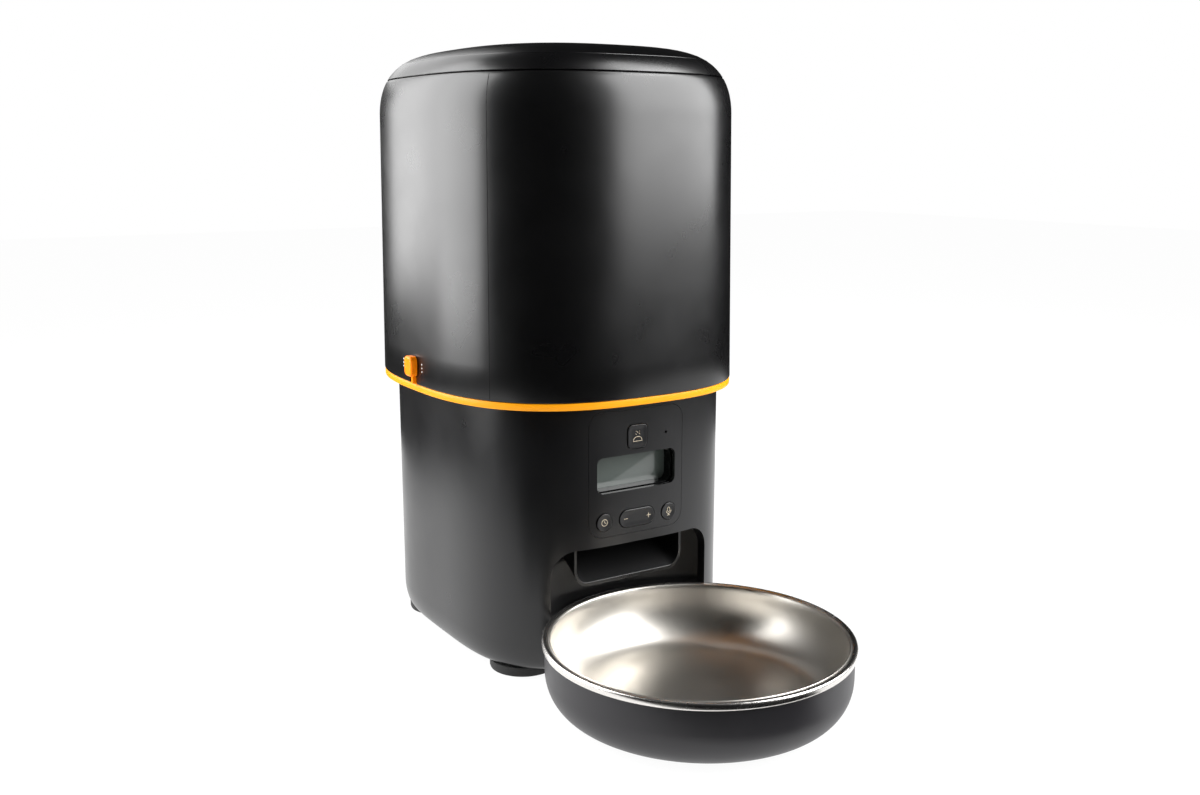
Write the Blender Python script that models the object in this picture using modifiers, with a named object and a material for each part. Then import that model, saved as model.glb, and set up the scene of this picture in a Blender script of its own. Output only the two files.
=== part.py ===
"""Automatic pet feeder: a food hopper on a powered base, with a steel bowl in a holder in front.

Units are metres, +Z is up and the front of the feeder faces -Y. The world origin is the middle of
the object's footprint on the floor, and the feeder's own upright axis is the empty "feeder_frame".
"""

import math

import bmesh
import bpy
from mathutils import Matrix, Vector

# ---------------------------------------------------------------- driving dimensions
FIT_GAP = 0.0003            # between pieces that touch
SLIDE_GAP = 0.0004          # round pieces that slide or turn
ROUND_STEPS = 32            # facets of a full turn on large round pieces
SMALL_STEPS = 16            # facets of a full turn on buttons, shafts and screws
OUTLINE_STEPS = 40          # points around a rounded-square outline, a multiple of 4
FACET_SAG = 0.0003          # flat facets inside the true curve of the outline

HOPPER_WIDTH = 0.190        # at the trim ring
HOPPER_DEPTH = 0.2146
HOPPER_POWER = 2.7          # squareness of the hopper's outline
HOPPER_DRAFT = 0.0019       # how far each wall leans in by the shoulder
HOPPER_HEIGHT = 0.1515      # trim ring to shoulder
HOPPER_WALL = 0.0024
DOME_HEIGHT = 0.0391        # shoulder to the crown of the lid
DOME_POWER = 2.29
DOME_FLATNESS = 6.0
LID_HEIGHT = 0.0175         # crown to the seam
LID_WALL = 0.0022
LID_SKIRT = 0.0085
LID_SKIRT_WALL = 0.0018
SEAL_SPACE = 0.0024         # between the lid's skirt and the hopper wall
SEAL_HEIGHT = 0.0035
DESICCANT_RADIUS = 0.030
DESICCANT_HEIGHT = 0.017
DESICCANT_WALL = 0.0016

BASE_WIDTH = 0.1662
BASE_DEPTH = 0.1875
BASE_POWER = 3.53           # squareness of the base's outline
BASE_TOP = 0.1582           # height of the base wall above the floor
BASE_WALL = 0.0025
BASE_ROUND_HEIGHT = 0.015   # rounding along the bottom edge
BASE_ROUND_INSET = 0.0048
COVER_THICKNESS = 0.0025
DECK_THICKNESS = 0.0026
RING_HEIGHT = 0.0041
RING_INSET = 0.0003         # trim ring behind the hopper wall
LEDGE_SHARE = 0.5           # share of the base wall's top that the deck rests on

FOOT_RADIUS = 0.020
FOOT_HEIGHT = 0.0057
FOOT_X = 0.0545
FOOT_Y = 0.057
SCREW_X = 0.0600
SCREW_Y = 0.0680
SCREW_HEAD_RADIUS = 0.0032
SCREW_HEAD_HEIGHT = 0.0020
SCREW_SHANK_RADIUS = 0.0014
SCREW_LENGTH = 0.012
BOSS_RADIUS = 0.0042
BOSS_HEIGHT = 0.014
RIB_WALL = 0.002            # rib that joins a boss to the side wall
RIB_LIFT = 0.006            # rib above the rounding of the bottom edge

BOWL_RADIUS = 0.0846        # outer edge of the rim
BOWL_RIM_Z = 0.0393
BOWL_LIP = 0.0039           # turned-down edge of the rim
BOWL_FLANGE = 0.0044        # flat width of the rim
BOWL_STEEL = 0.0008
BOWL_FLOOR_RADIUS = 0.052
BOWL_FLOOR_Z = 0.0052       # underside of the steel
HOLDER_RIM_GAP = 0.0006     # holder inside the rim's turned-down edge
HOLDER_WALL = 0.0018
HOLDER_FLOOR_RADIUS = 0.060
HOLDER_CORNER = 0.022       # height of the holder's round bottom corner
ALCOVE_DEPTH = 0.0305       # how far the bowl bay reaches into the base
ALCOVE_GAP = 0.0060         # bay wall to the rim of the bowl
ALCOVE_WIDTH = 0.107
ALCOVE_TOP = 0.076
ALCOVE_CORNER = 0.014

ROTOR_Y = 0.008             # rotor axis behind the middle of the base
ROTOR_RADIUS = 0.0575
ROTOR_HEIGHT = 0.0205
ROTOR_LIFT = 0.0008         # rotor above the hopper floor, and its head above the deck
ROTOR_HUB_RADIUS = 0.0125
ROTOR_VANES = 6
VANE_THICKNESS = 0.0024
BAFFLE_GAP = 0.0025         # silicone baffle above the vanes
BAFFLE_THICKNESS = 0.0018
BAFFLE_MARGIN = 0.003       # baffle past the sides of the port
CHAMBER_GAP = 0.0040        # rotor to chamber wall, so that kibble isn't pinched
CHAMBER_WALL = 0.0020
FLOOR_THICKNESS = 0.0028
FUNNEL_HEIGHT = 0.036
FUNNEL_CHAMBER_MARGIN = 0.007
PORT_WIDTH = 0.046
PORT_INNER = 0.024          # nearest edge of the drop port from the rotor axis
PORT_MARGIN = 0.0015        # farthest edge of the port inside the tips of the vanes
STIRRER_REACH = 0.034
STIRRER_RISE = 0.027
STIRRER_WIRE = 0.0018

CHUTE_WIDTH = 0.074
CHUTE_WALL = 0.0017
CHUTE_LIP_Z = 0.0515
CHUTE_LIP_SETBACK = 0.0081  # lip behind the front of the base
CHUTE_ROOF_Z = 0.0805
CHUTE_SLOPE_Z = 0.100       # where the sloped floor meets the back of the shaft
CHUTE_CORNER = 0.009
CHUTE_PORT_MARGIN = 0.0035

PANEL_WIDTH = 0.0634
PANEL_TOP_DROP = 0.0047     # panel's top edge below the base's top
PANEL_BOTTOM_DROP = 0.0766
PANEL_CORNER = 0.0085
LCD_WIDTH = 0.053
LCD_HEIGHT = 0.0208
LCD_DROP = 0.0409           # middle of the display below the base's top
LCD_CORNER = 0.004
LCD_RECESS = 0.0065         # glass behind the panel's back face
LCD_BEZEL_WALL = 0.0012
LCD_GLASS = 0.0015
BOARD_THICKNESS = 0.0016
BOARD_SETBACK = 0.0185      # main board's front behind the front of the base
FEED_WIDTH = 0.0133
FEED_HEIGHT = 0.0137
FEED_DROP = 0.0206
FEED_CORNER = 0.0032
SMALL_BUTTON_RADIUS = 0.0050
SMALL_BUTTON_X = 0.0220
LOWER_BUTTON_DROP = 0.0679
ROCKER_WIDTH = 0.0240
ROCKER_HEIGHT = 0.0102
ROCKER_SWITCH_X = 0.008
ROCKER_PIVOT_DEPTH = 0.002  # pivot behind the panel
BUTTON_PROUD = 0.0005
BUTTON_FLANGE = 0.0012
BUTTON_TRAVEL = 0.0008
SWITCH_SIZE = 0.006
SWITCH_HEIGHT = 0.0035
MIC_X = 0.0198
MIC_DROP = 0.0205
MIC_HOLE_RADIUS = 0.0008
MIC_RADIUS = 0.0030
MIC_DEPTH = 0.0027

LATCH_Y = -0.003
LATCH_WIDTH = 0.012
LATCH_HEIGHT = 0.013
LATCH_PROUD = 0.004
LATCH_LIFT = 0.0049         # knob's lower edge above the trim ring
LATCH_STEM = 0.003
LATCH_STEM_SHIFT = -0.0010  # stem's middle from the knob's middle
LATCH_TRAVEL = 0.006
LATCH_ARM_HEIGHT = 0.0038
LATCH_TONGUE = 0.0024       # tongue below the arm
LATCH_REACH = 0.0075        # arm inside the hopper wall's outer face

GEAR_MODULE = 0.0015
TIP_SHARE = 0.70            # tooth above and below the pitch circle, in modules
ROOT_SHARE = 1.15
GEAR_TEETH = 22
PINION_TEETH = 8
GEAR_WIDTH = 0.008
GEAR_LIFT = 0.004           # gears above the gearbox floor
GEAR_BACKLASH = 0.0005      # added to the distance between the axes
SHAFT_RADIUS = 0.0040
BUSHING_WALL = 0.003
HEX_RADIUS = 0.0070
HEX_DEPTH = 0.010           # drive head inside the rotor
GEARBOX_WALL = 0.0018
GEARBOX_HEIGHT = 0.028
GEARBOX_MARGIN = 0.0035
MOTOR_RADIUS = 0.0135
MOTOR_LENGTH = 0.032
SHAFT_ENTRY = 0.012         # motor shaft inside the motor
PINION_SHAFT_RADIUS = 0.0015

CELL_RADIUS = 0.0168
CELL_LENGTH = 0.0600
CELL_CAP_RADIUS = 0.0048
CELL_CAP = 0.0014
CELL_SPACE = 0.0010         # between neighbouring cells
CELL_COUNT = 3
TRAY_BACK_SPACE = 0.02645   # behind the tray, where the power inlet sits
TRAY_WALL = 0.0016
TRAY_END_SPACE = 0.0036     # room for a contact at each end of the cells
DOOR_OVERLAP = 0.0015
DOOR_THICKNESS = 0.0022
CONTACT_THICKNESS = 0.0006
CONTACT_HEIGHT = 0.024

JACK_X = 0.030
JACK_Z = 0.030
JACK_WIDTH = 0.0092
JACK_HEIGHT = 0.0110
JACK_DEPTH = 0.0130
JACK_BORE = 0.0031
JACK_PIN = 0.0010
JACK_BORE_DEPTH = 0.010
SPEAKER_RADIUS = 0.014
SPEAKER_HEIGHT = 0.0085
SPEAKER_HOLES = 5
SPEAKER_HOLE_RADIUS = 0.0017
SPEAKER_X = -0.057
SPEAKER_Y = 0.016

# ---------------------------------------------------------------- derived places
HOPPER_HALF = HOPPER_WIDTH / 2
HOPPER_HALF_DEPTH = HOPPER_DEPTH / 2
BASE_HALF = BASE_WIDTH / 2
BASE_HALF_DEPTH = BASE_DEPTH / 2


def inner_reach(x):
    """How far the inside of the base wall lies from the middle, x to one side of it."""
    share = abs(x) / (BASE_HALF - BASE_WALL)
    curve = (BASE_HALF_DEPTH - BASE_WALL) * (1 - share ** BASE_POWER) ** (1 / BASE_POWER)
    return curve - FACET_SAG


def side_reach(y):
    """The same towards the side, y in front of or behind the middle."""
    share = abs(y) / (BASE_HALF_DEPTH - BASE_WALL)
    return (BASE_HALF - BASE_WALL) * (1 - share ** BASE_POWER) ** (1 / BASE_POWER) - FACET_SAG


BASE_BOTTOM = FOOT_HEIGHT + FIT_GAP
RING_BOTTOM = BASE_TOP + FIT_GAP
RING_TOP = RING_BOTTOM + RING_HEIGHT
HOPPER_BOTTOM = RING_TOP + FIT_GAP
SHOULDER_Z = HOPPER_BOTTOM + HOPPER_HEIGHT
CROWN_Z = SHOULDER_Z + DOME_HEIGHT
SEAM_Z = CROWN_Z - LID_HEIGHT
DECK_TOP = RING_BOTTOM + DECK_THICKNESS
FLOOR_BOTTOM = HOPPER_BOTTOM + FIT_GAP
FLOOR_TOP = FLOOR_BOTTOM + FLOOR_THICKNESS
ROTOR_BOTTOM = FLOOR_TOP + ROTOR_LIFT
ROTOR_TOP = ROTOR_BOTTOM + ROTOR_HEIGHT
CHAMBER_RADIUS = ROTOR_RADIUS + CHAMBER_GAP
PORT_OUTER = ROTOR_RADIUS - PORT_MARGIN
BOWL_Y = -(BASE_HALF_DEPTH - ALCOVE_DEPTH + ALCOVE_GAP + BOWL_RADIUS)
ALCOVE_RADIUS = BOWL_RADIUS + ALCOVE_GAP
BODY_Y = (BOWL_RADIUS - BOWL_Y - HOPPER_HALF_DEPTH) / 2
PANEL_BACK_Y = -inner_reach(PANEL_WIDTH / 2) + FIT_GAP
BOARD_Y = -BASE_HALF_DEPTH + BOARD_SETBACK
CHUTE_FRONT_Y = ROTOR_Y - PORT_OUTER - CHUTE_PORT_MARGIN
CHUTE_BACK_Y = ROTOR_Y - PORT_INNER + CHUTE_PORT_MARGIN
CHUTE_LIP_Y = -BASE_HALF_DEPTH + CHUTE_LIP_SETBACK
CHUTE_TOP = RING_BOTTOM - FIT_GAP
PINION_Y = ROTOR_Y + GEAR_MODULE * (GEAR_TEETH + PINION_TEETH) / 2 + GEAR_BACKLASH
GEARBOX_BOTTOM = RING_BOTTOM - FIT_GAP - GEARBOX_HEIGHT
GEAR_Z = GEARBOX_BOTTOM + GEARBOX_WALL + GEAR_LIFT
GEAR_TURN = (0.25 * GEAR_TEETH + 0.5) % 1      # a gap of the gear faces the pinion
PINION_TURN = (0.75 * PINION_TEETH) % 1        # and a tooth of the pinion faces the gear
CELL_PITCH = 2 * CELL_RADIUS + CELL_SPACE
CELL_Z = BASE_BOTTOM + COVER_THICKNESS + FIT_GAP + CELL_RADIUS
CELL_END = CELL_LENGTH / 2 + CELL_CAP
TRAY_HALF_WIDTH = CELL_END + TRAY_END_SPACE + TRAY_WALL
TRAY_HALF_DEPTH = CELL_PITCH * (CELL_COUNT - 1) / 2 + CELL_RADIUS + FIT_GAP + TRAY_WALL
CELL_MIDDLE_Y = BASE_HALF_DEPTH - TRAY_BACK_SPACE - TRAY_HALF_DEPTH
TRAY_TOP = CELL_Z + CELL_RADIUS + FIT_GAP + TRAY_WALL
DOOR_HALF_WIDTH = CELL_END + FIT_GAP
DOOR_HALF_DEPTH = TRAY_HALF_DEPTH - TRAY_WALL

# colour (linear RGB), roughness, metallic
FINISHES = {
    "satin_black": ((0.012, 0.012, 0.013), 0.42, 0.0),
    "charcoal": ((0.020, 0.020, 0.022), 0.48, 0.0),
    "holder_grey": ((0.030, 0.028, 0.034), 0.50, 0.0),
    "amber": ((1.0, 0.42, 0.01), 0.38, 0.0),
    "orange": ((1.0, 0.27, 0.01), 0.38, 0.0),
    "steel": ((0.62, 0.60, 0.57), 0.28, 1.0),
    "zinc": ((0.50, 0.51, 0.52), 0.35, 1.0),
    "glass_grey": ((0.20, 0.22, 0.20), 0.10, 0.0),
    "display": ((0.16, 0.18, 0.16), 0.30, 0.0),
    "natural_plastic": ((0.60, 0.60, 0.57), 0.45, 0.0),
    "frosted": ((0.52, 0.54, 0.55), 0.40, 0.0),
    "rubber": ((0.020, 0.020, 0.020), 0.75, 0.0),
    "silicone": ((0.55, 0.55, 0.52), 0.60, 0.0),
    "board_green": ((0.010, 0.12, 0.045), 0.40, 0.0),
    "cell_wrap": ((0.03, 0.05, 0.16), 0.35, 0.3),
    "paper": ((0.72, 0.71, 0.67), 0.85, 0.0),
    "acetal": ((0.75, 0.74, 0.70), 0.35, 0.0),
}


# ---------------------------------------------------------------- scene and helpers
def clear_scene():
    for item in list(bpy.data.objects):
        bpy.data.objects.remove(item, do_unlink=True)


def make_collection(name):
    collection = bpy.data.collections.get(name) or bpy.data.collections.new(name)
    if name not in bpy.context.scene.collection.children:
        bpy.context.scene.collection.children.link(collection)
    return collection


def finish_material(name):
    material = bpy.data.materials.get(name)
    if material is None:
        colour, roughness, metallic = FINISHES[name]
        material = bpy.data.materials.new(name)
        material.use_nodes = True
        shader = material.node_tree.nodes["Principled BSDF"]
        shader.inputs["Base Color"].default_value = (*colour, 1.0)
        shader.inputs["Roughness"].default_value = roughness
        shader.inputs["Metallic"].default_value = metallic
    return material


clear_scene()
PARTS = make_collection("automatic_pet_feeder")
CUTTERS = make_collection("feeder_cutters")
FRAME = bpy.data.objects.new("feeder_frame", None)
PARTS.objects.link(FRAME)
FRAME.location = (0.0, BODY_Y, 0.0)


def add_object(name, data, place, finish):
    """A part when it has a finish, otherwise a cutter or an operand that isn't drawn."""
    item = bpy.data.objects.new(name, data)
    item.parent = FRAME
    item.location = place
    if finish is None:
        CUTTERS.objects.link(item)
        item.hide_render = True
        item.display_type = "WIRE"
    else:
        PARTS.objects.link(item)
        data.materials.append(finish_material(finish))
    return item


def mesh_object(name, bm, place=(0, 0, 0), finish=None, sharp_angle=35):
    bmesh.ops.recalc_face_normals(bm, faces=bm.faces)
    if bm.calc_volume(signed=True) < 0:
        bmesh.ops.reverse_faces(bm, faces=bm.faces)
    mesh = bpy.data.meshes.new(name)
    bm.to_mesh(mesh)
    bm.free()
    mesh.shade_smooth()
    mesh.set_sharp_from_angle(angle=math.radians(sharp_angle))
    return add_object(name, mesh, place, finish)


def outline(half_width, half_depth, power, height, middle_y=0.0):
    """Points of a rounded square |x/a|^n + |y/b|^n = 1, closer together at its corners."""
    points = []
    for step in range(OUTLINE_STEPS):
        turn = 2 * math.pi * step / OUTLINE_STEPS
        cosine, sine = math.cos(turn), math.sin(turn)
        x = half_width * math.copysign(abs(cosine) ** (2 / power), cosine)
        y = half_depth * math.copysign(abs(sine) ** (2 / power), sine)
        points.append(Vector((x, middle_y + y, height)))
    return points


def circle(radius, height, steps=OUTLINE_STEPS, middle_y=0.0):
    turns = [2 * math.pi * step / steps for step in range(steps)]
    return [Vector((radius * math.cos(t), middle_y + radius * math.sin(t), height)) for t in turns]


def loft(name, rings, closed, place=(0, 0, 0), finish=None):
    """Extrude the first ring's edges through the others; closed rings make a tube with a wall."""
    bm = bmesh.new()
    current = [bm.verts.new(point) for point in rings[0]]
    edges = [bm.edges.new((vert, current[i - 1])) for i, vert in enumerate(current)]
    for ring in rings[1:] + (rings[:1] if closed else []):
        made = bmesh.ops.extrude_edge_only(bm, edges=edges)["geom"]
        fresh = {item for item in made if isinstance(item, bmesh.types.BMVert)}
        edges = [e for e in made if isinstance(e, bmesh.types.BMEdge) and set(e.verts) <= fresh]
        current = [next(e.other_vert(v) for e in v.link_edges if e.other_vert(v) in fresh)
                   for v in current]
        for vert, point in zip(current, ring):
            vert.co = point
    if closed:
        bmesh.ops.remove_doubles(bm, verts=bm.verts, dist=1e-7)
    else:
        bmesh.ops.holes_fill(bm, edges=bm.edges, sides=0)
    return mesh_object(name, bm, place, finish)


def turned(name, profile, steps=ROUND_STEPS, closed=False, place=(0, 0, 0), finish=None):
    """A turned solid. The profile (radius, height) runs down its outer side."""
    mesh = bpy.data.meshes.new(name)
    count = len(profile)
    links = [(i, i + 1) for i in range(count - 1)] + ([(count - 1, 0)] if closed else [])
    mesh.from_pydata([(radius, 0.0, height) for radius, height in profile], links, [])
    item = add_object(name, mesh, place, finish)
    screw = item.modifiers.new("turn", "SCREW")
    screw.angle = math.tau
    screw.steps = steps
    screw.render_steps = steps
    screw.use_merge_vertices = True
    screw.merge_threshold = 0.00001
    screw.use_smooth_shade = True
    return item


def rod(name, radius, bottom, top, steps=SMALL_STEPS, place=(0, 0, 0), finish=None):
    profile = [(0.0, top), (radius, top), (radius, bottom), (0.0, bottom)]
    return turned(name, profile, steps, False, place, finish)


def tube(name, inner, outer, bottom, top, steps=SMALL_STEPS, place=(0, 0, 0), finish=None):
    profile = [(outer, top), (outer, bottom), (inner, bottom), (inner, top)]
    return turned(name, profile, steps, True, place, finish)


def block(name, size, place, finish=None, corner=0.0, along="Y", segments=4):
    """A box whose four edges along one axis are rounded by a corner radius."""
    bm = bmesh.new()
    bmesh.ops.create_cube(bm, size=1.0)
    bmesh.ops.scale(bm, vec=size, verts=bm.verts)
    if corner > 0:
        axis = "XYZ".index(along)
        edges = [e for e in bm.edges if abs((e.verts[0].co - e.verts[1].co)[axis]) > size[axis] / 2]
        bmesh.ops.bevel(bm, geom=edges, offset=corner, segments=segments, profile=0.5,
                        affect="EDGES")
    return mesh_object(name, bm, place, finish)


def span_block(name, low, high, finish=None, corner=0.0, along="Y", segments=4):
    """The same box, given by its two opposite corners."""
    size = [high[i] - low[i] for i in range(3)]
    middle = [(high[i] + low[i]) / 2 for i in range(3)]
    return block(name, size, middle, finish, corner, along, segments)


def boolean(item, operand, operation):
    modifier = item.modifiers.new(operand.name, "BOOLEAN")
    modifier.operation = operation
    modifier.solver = "EXACT"
    modifier.object = operand
    return item


def cut(item, *cutters):
    for cutter in cutters:
        boolean(item, cutter, "DIFFERENCE")
    return item


def join(item, *operands):
    for operand in operands:
        boolean(item, operand, "UNION")
    return item


# ---------------------------------------------------------------- hopper and lid
def dome_inset(height):
    """How far the dome has drawn in from the shoulder's outline at a height."""
    share = max(0.0, height - SHOULDER_Z) / DOME_HEIGHT
    scale = (1 - min(share, 0.9995) ** DOME_POWER) ** (1 / DOME_FLATNESS)
    return (HOPPER_HALF - HOPPER_DRAFT) * (1 - scale)


def hopper_ring(height, inset=0.0):
    """Outline of the hopper or lid at a height, moved in by an inset."""
    lean = HOPPER_DRAFT * min(1.0, max(0.0, (height - HOPPER_BOTTOM) / HOPPER_HEIGHT))
    draw = lean + dome_inset(height) + inset
    return outline(HOPPER_HALF - draw, HOPPER_HALF_DEPTH - draw, HOPPER_POWER, height)


def build_hopper():
    wall_heights = [HOPPER_BOTTOM, (HOPPER_BOTTOM + SHOULDER_Z) / 2, SHOULDER_Z]
    dome_heights = [SHOULDER_Z + (SEAM_Z - SHOULDER_Z) * share for share in (0.4, 0.7, 1.0)]
    heights = wall_heights + dome_heights
    outer = [hopper_ring(height) for height in heights]
    inner = [hopper_ring(height, HOPPER_WALL) for height in reversed(heights)]
    shell = loft("hopper_shell", outer + inner, True, finish="satin_black")

    throat = FLOOR_TOP + FIT_GAP
    shoulder = ROTOR_TOP + FUNNEL_CHAMBER_MARGIN
    top = shoulder + FUNNEL_HEIGHT
    seat = HOPPER_WALL + FIT_GAP
    rings = [
        hopper_ring(top, seat),
        circle(CHAMBER_RADIUS + CHAMBER_WALL, shoulder - 0.001, middle_y=ROTOR_Y),
        circle(CHAMBER_RADIUS + CHAMBER_WALL, throat, middle_y=ROTOR_Y),
        circle(CHAMBER_RADIUS, throat, middle_y=ROTOR_Y),
        circle(CHAMBER_RADIUS, shoulder, middle_y=ROTOR_Y),
        hopper_ring(top + 0.003, seat + 0.0005),
    ]
    loft("hopper_funnel", rings, True, finish="satin_black")

    floor_rings = [hopper_ring(height, seat) for height in (FLOOR_BOTTOM, FLOOR_TOP)]
    floor = loft("hopper_floor", floor_rings, False, finish="satin_black")
    port = span_block("floor_port_cut",
                      (-PORT_WIDTH / 2, ROTOR_Y - PORT_OUTER, FLOOR_BOTTOM - 0.01),
                      (PORT_WIDTH / 2, ROTOR_Y - PORT_INNER, FLOOR_TOP + 0.01),
                      corner=0.006, along="Z")
    hub_hole = rod("floor_hub_cut", HEX_RADIUS + 0.001, -0.01, 0.01,
                   place=(0, ROTOR_Y, FLOOR_BOTTOM))
    cut(floor, port, hub_hole)

    baffle_half = PORT_WIDTH / 2 + BAFFLE_MARGIN
    baffle_bottom = ROTOR_TOP + BAFFLE_GAP
    shield = span_block("portion_baffle",
                        (-baffle_half, ROTOR_Y - PORT_OUTER - 0.02, baffle_bottom),
                        (baffle_half, ROTOR_Y - PORT_INNER, baffle_bottom + BAFFLE_THICKNESS),
                        finish="silicone")
    chamber = rod("baffle_round_cut", CHAMBER_RADIUS - FIT_GAP, 0.0, 0.02, OUTLINE_STEPS,
                  place=(0, ROTOR_Y, ROTOR_TOP - 0.005))
    boolean(shield, chamber, "INTERSECT")
    return shell, floor


def build_lid():
    bottom = SEAM_Z + FIT_GAP
    heights = [bottom + (CROWN_Z - bottom) * math.sin(step * math.pi / 12) for step in range(6)]
    heights.append(CROWN_Z - 0.0002)
    dome = [hopper_ring(height) for height in reversed(heights)]
    lean = HOPPER_DRAFT + dome_inset(SEAM_Z)
    skirt_outer = HOPPER_WALL + SEAL_SPACE
    skirt_inner = skirt_outer + LID_SKIRT_WALL

    def skirt_ring(inset, height):
        return outline(HOPPER_HALF - lean - inset, HOPPER_HALF_DEPTH - lean - inset,
                       HOPPER_POWER, height)

    ceiling = CROWN_Z - LID_WALL
    skirt_bottom = bottom - LID_SKIRT
    skirt = [skirt_ring(skirt_outer, bottom), skirt_ring(skirt_outer, skirt_bottom),
             skirt_ring(skirt_inner, skirt_bottom), skirt_ring(skirt_inner, ceiling - 0.0085),
             skirt_ring(skirt_inner + 0.006, ceiling - 0.0030),
             skirt_ring(skirt_inner + 0.022, ceiling)]
    loft("lid", dome + skirt, False, finish="satin_black")

    seal_bottom = skirt_bottom + 0.001
    seal_top = seal_bottom + SEAL_HEIGHT
    seal = [hopper_ring(seal_bottom, HOPPER_WALL + FIT_GAP),
            hopper_ring(seal_top, HOPPER_WALL + FIT_GAP),
            skirt_ring(skirt_outer - FIT_GAP, seal_top),
            skirt_ring(skirt_outer - FIT_GAP, seal_bottom)]
    loft("lid_seal", seal, True, finish="silicone")

    cup_top = ceiling - FIT_GAP
    cup_bottom = cup_top - DESICCANT_HEIGHT
    radius = DESICCANT_RADIUS
    wall = DESICCANT_WALL
    cup = turned("desiccant_cup", [
        (0.0, cup_bottom + wall), (radius - wall, cup_bottom + wall), (radius - wall, cup_top),
        (radius, cup_top), (radius, cup_bottom), (0.0, cup_bottom)], finish="satin_black")
    for index in range(-2, 3):
        slot = block(f"cup_slot_cut_{index + 3}", (0.003, 1.2 * radius - abs(index) * 0.006, 0.01),
                     (index * 0.008, 0, cup_bottom))
        cut(cup, slot)
    bag_bottom = cup_bottom + wall + FIT_GAP
    bag_radius = radius - wall - 0.002
    turned("desiccant_bag", [
        (0.0, bag_bottom + 0.010), (bag_radius * 0.7, bag_bottom + 0.009),
        (bag_radius, bag_bottom + 0.005), (bag_radius * 0.8, bag_bottom), (0.0, bag_bottom)],
        finish="paper")


# ---------------------------------------------------------------- base casing
def base_rings(inset, bottom, top):
    """Rounded-square rings of the base, with the rounding along its bottom edge."""
    rings = []
    for step in range(4):
        turn = math.pi / 2 * step / 3
        draw = inset + BASE_ROUND_INSET * (1 - math.sin(turn))
        height = bottom + BASE_ROUND_HEIGHT * (1 - math.cos(turn))
        rings.append(outline(BASE_HALF - draw, BASE_HALF_DEPTH - draw, BASE_POWER, height))
    rings.append(outline(BASE_HALF - inset, BASE_HALF_DEPTH - inset, BASE_POWER, top))
    return rings


def inner_rings(inset):
    """The hollow inside the base wall, open through its top and bottom."""
    draw = inset + BASE_ROUND_INSET
    low = outline(BASE_HALF - draw, BASE_HALF_DEPTH - draw, BASE_POWER, 0.0)
    return [low] + base_rings(inset, BASE_BOTTOM, BASE_TOP + 0.02)


def alcove_cutter(name, grow):
    """The bowl bay: a round-backed pocket around the bowl, with rounded upper corners."""
    half = ALCOVE_WIDTH / 2 + grow
    bay = span_block(name, (-half, -BASE_HALF_DEPTH - 0.03, -0.05),
                     (half, -BASE_HALF_DEPTH + ALCOVE_DEPTH + 0.03, ALCOVE_TOP + grow),
                     corner=ALCOVE_CORNER + grow, along="Y", segments=5)
    back = rod(name + "_back", ALCOVE_RADIUS + grow, -0.1, ALCOVE_TOP + 0.05, 2 * ROUND_STEPS,
               place=(0, BOWL_Y, 0))
    return boolean(bay, back, "INTERSECT")


def panel_prism(name, grow):
    low = (-PANEL_WIDTH / 2 - grow, -BASE_HALF_DEPTH - 0.01, BASE_TOP - PANEL_BOTTOM_DROP - grow)
    high = (PANEL_WIDTH / 2 + grow, -BASE_HALF_DEPTH + 0.006, BASE_TOP - PANEL_TOP_DROP + grow)
    return span_block(name, low, high, corner=PANEL_CORNER + grow, along="Y")


def chute_solid(name, grow, past, finish=None):
    """A shaft under the drop port with a slope out to the lip, running past both open ends."""
    spare = 0.002
    half = CHUTE_WIDTH / 2 + grow
    low = CHUTE_LIP_Z - 0.02
    mouth = span_block(name, (-half - spare, CHUTE_LIP_Y - past, low),
                       (half + spare, CHUTE_BACK_Y + grow, CHUTE_ROOF_Z + grow), finish)
    shaft = span_block(name + "_shaft_add", (-half - spare, CHUTE_FRONT_Y - grow, low + 0.01),
                       (half + spare, CHUTE_BACK_Y + grow, CHUTE_TOP + past))
    run = CHUTE_BACK_Y - CHUTE_LIP_Y
    rise = CHUTE_SLOPE_Z - CHUTE_LIP_Z
    angle = math.atan2(rise, run)
    depth = 0.3
    trough = block(name + "_trough", (2 * half, 0.4, depth), (0, 0, 0),
                   corner=CHUTE_CORNER + grow, along="Y")
    up = depth / 2 - grow
    trough.location = (0, CHUTE_LIP_Y + run / 2 - math.sin(angle) * up,
                       CHUTE_LIP_Z + rise / 2 + math.cos(angle) * up)
    trough.rotation_euler = (angle, 0, 0)
    join(mouth, shaft)
    return boolean(mouth, trough, "INTERSECT")


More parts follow.
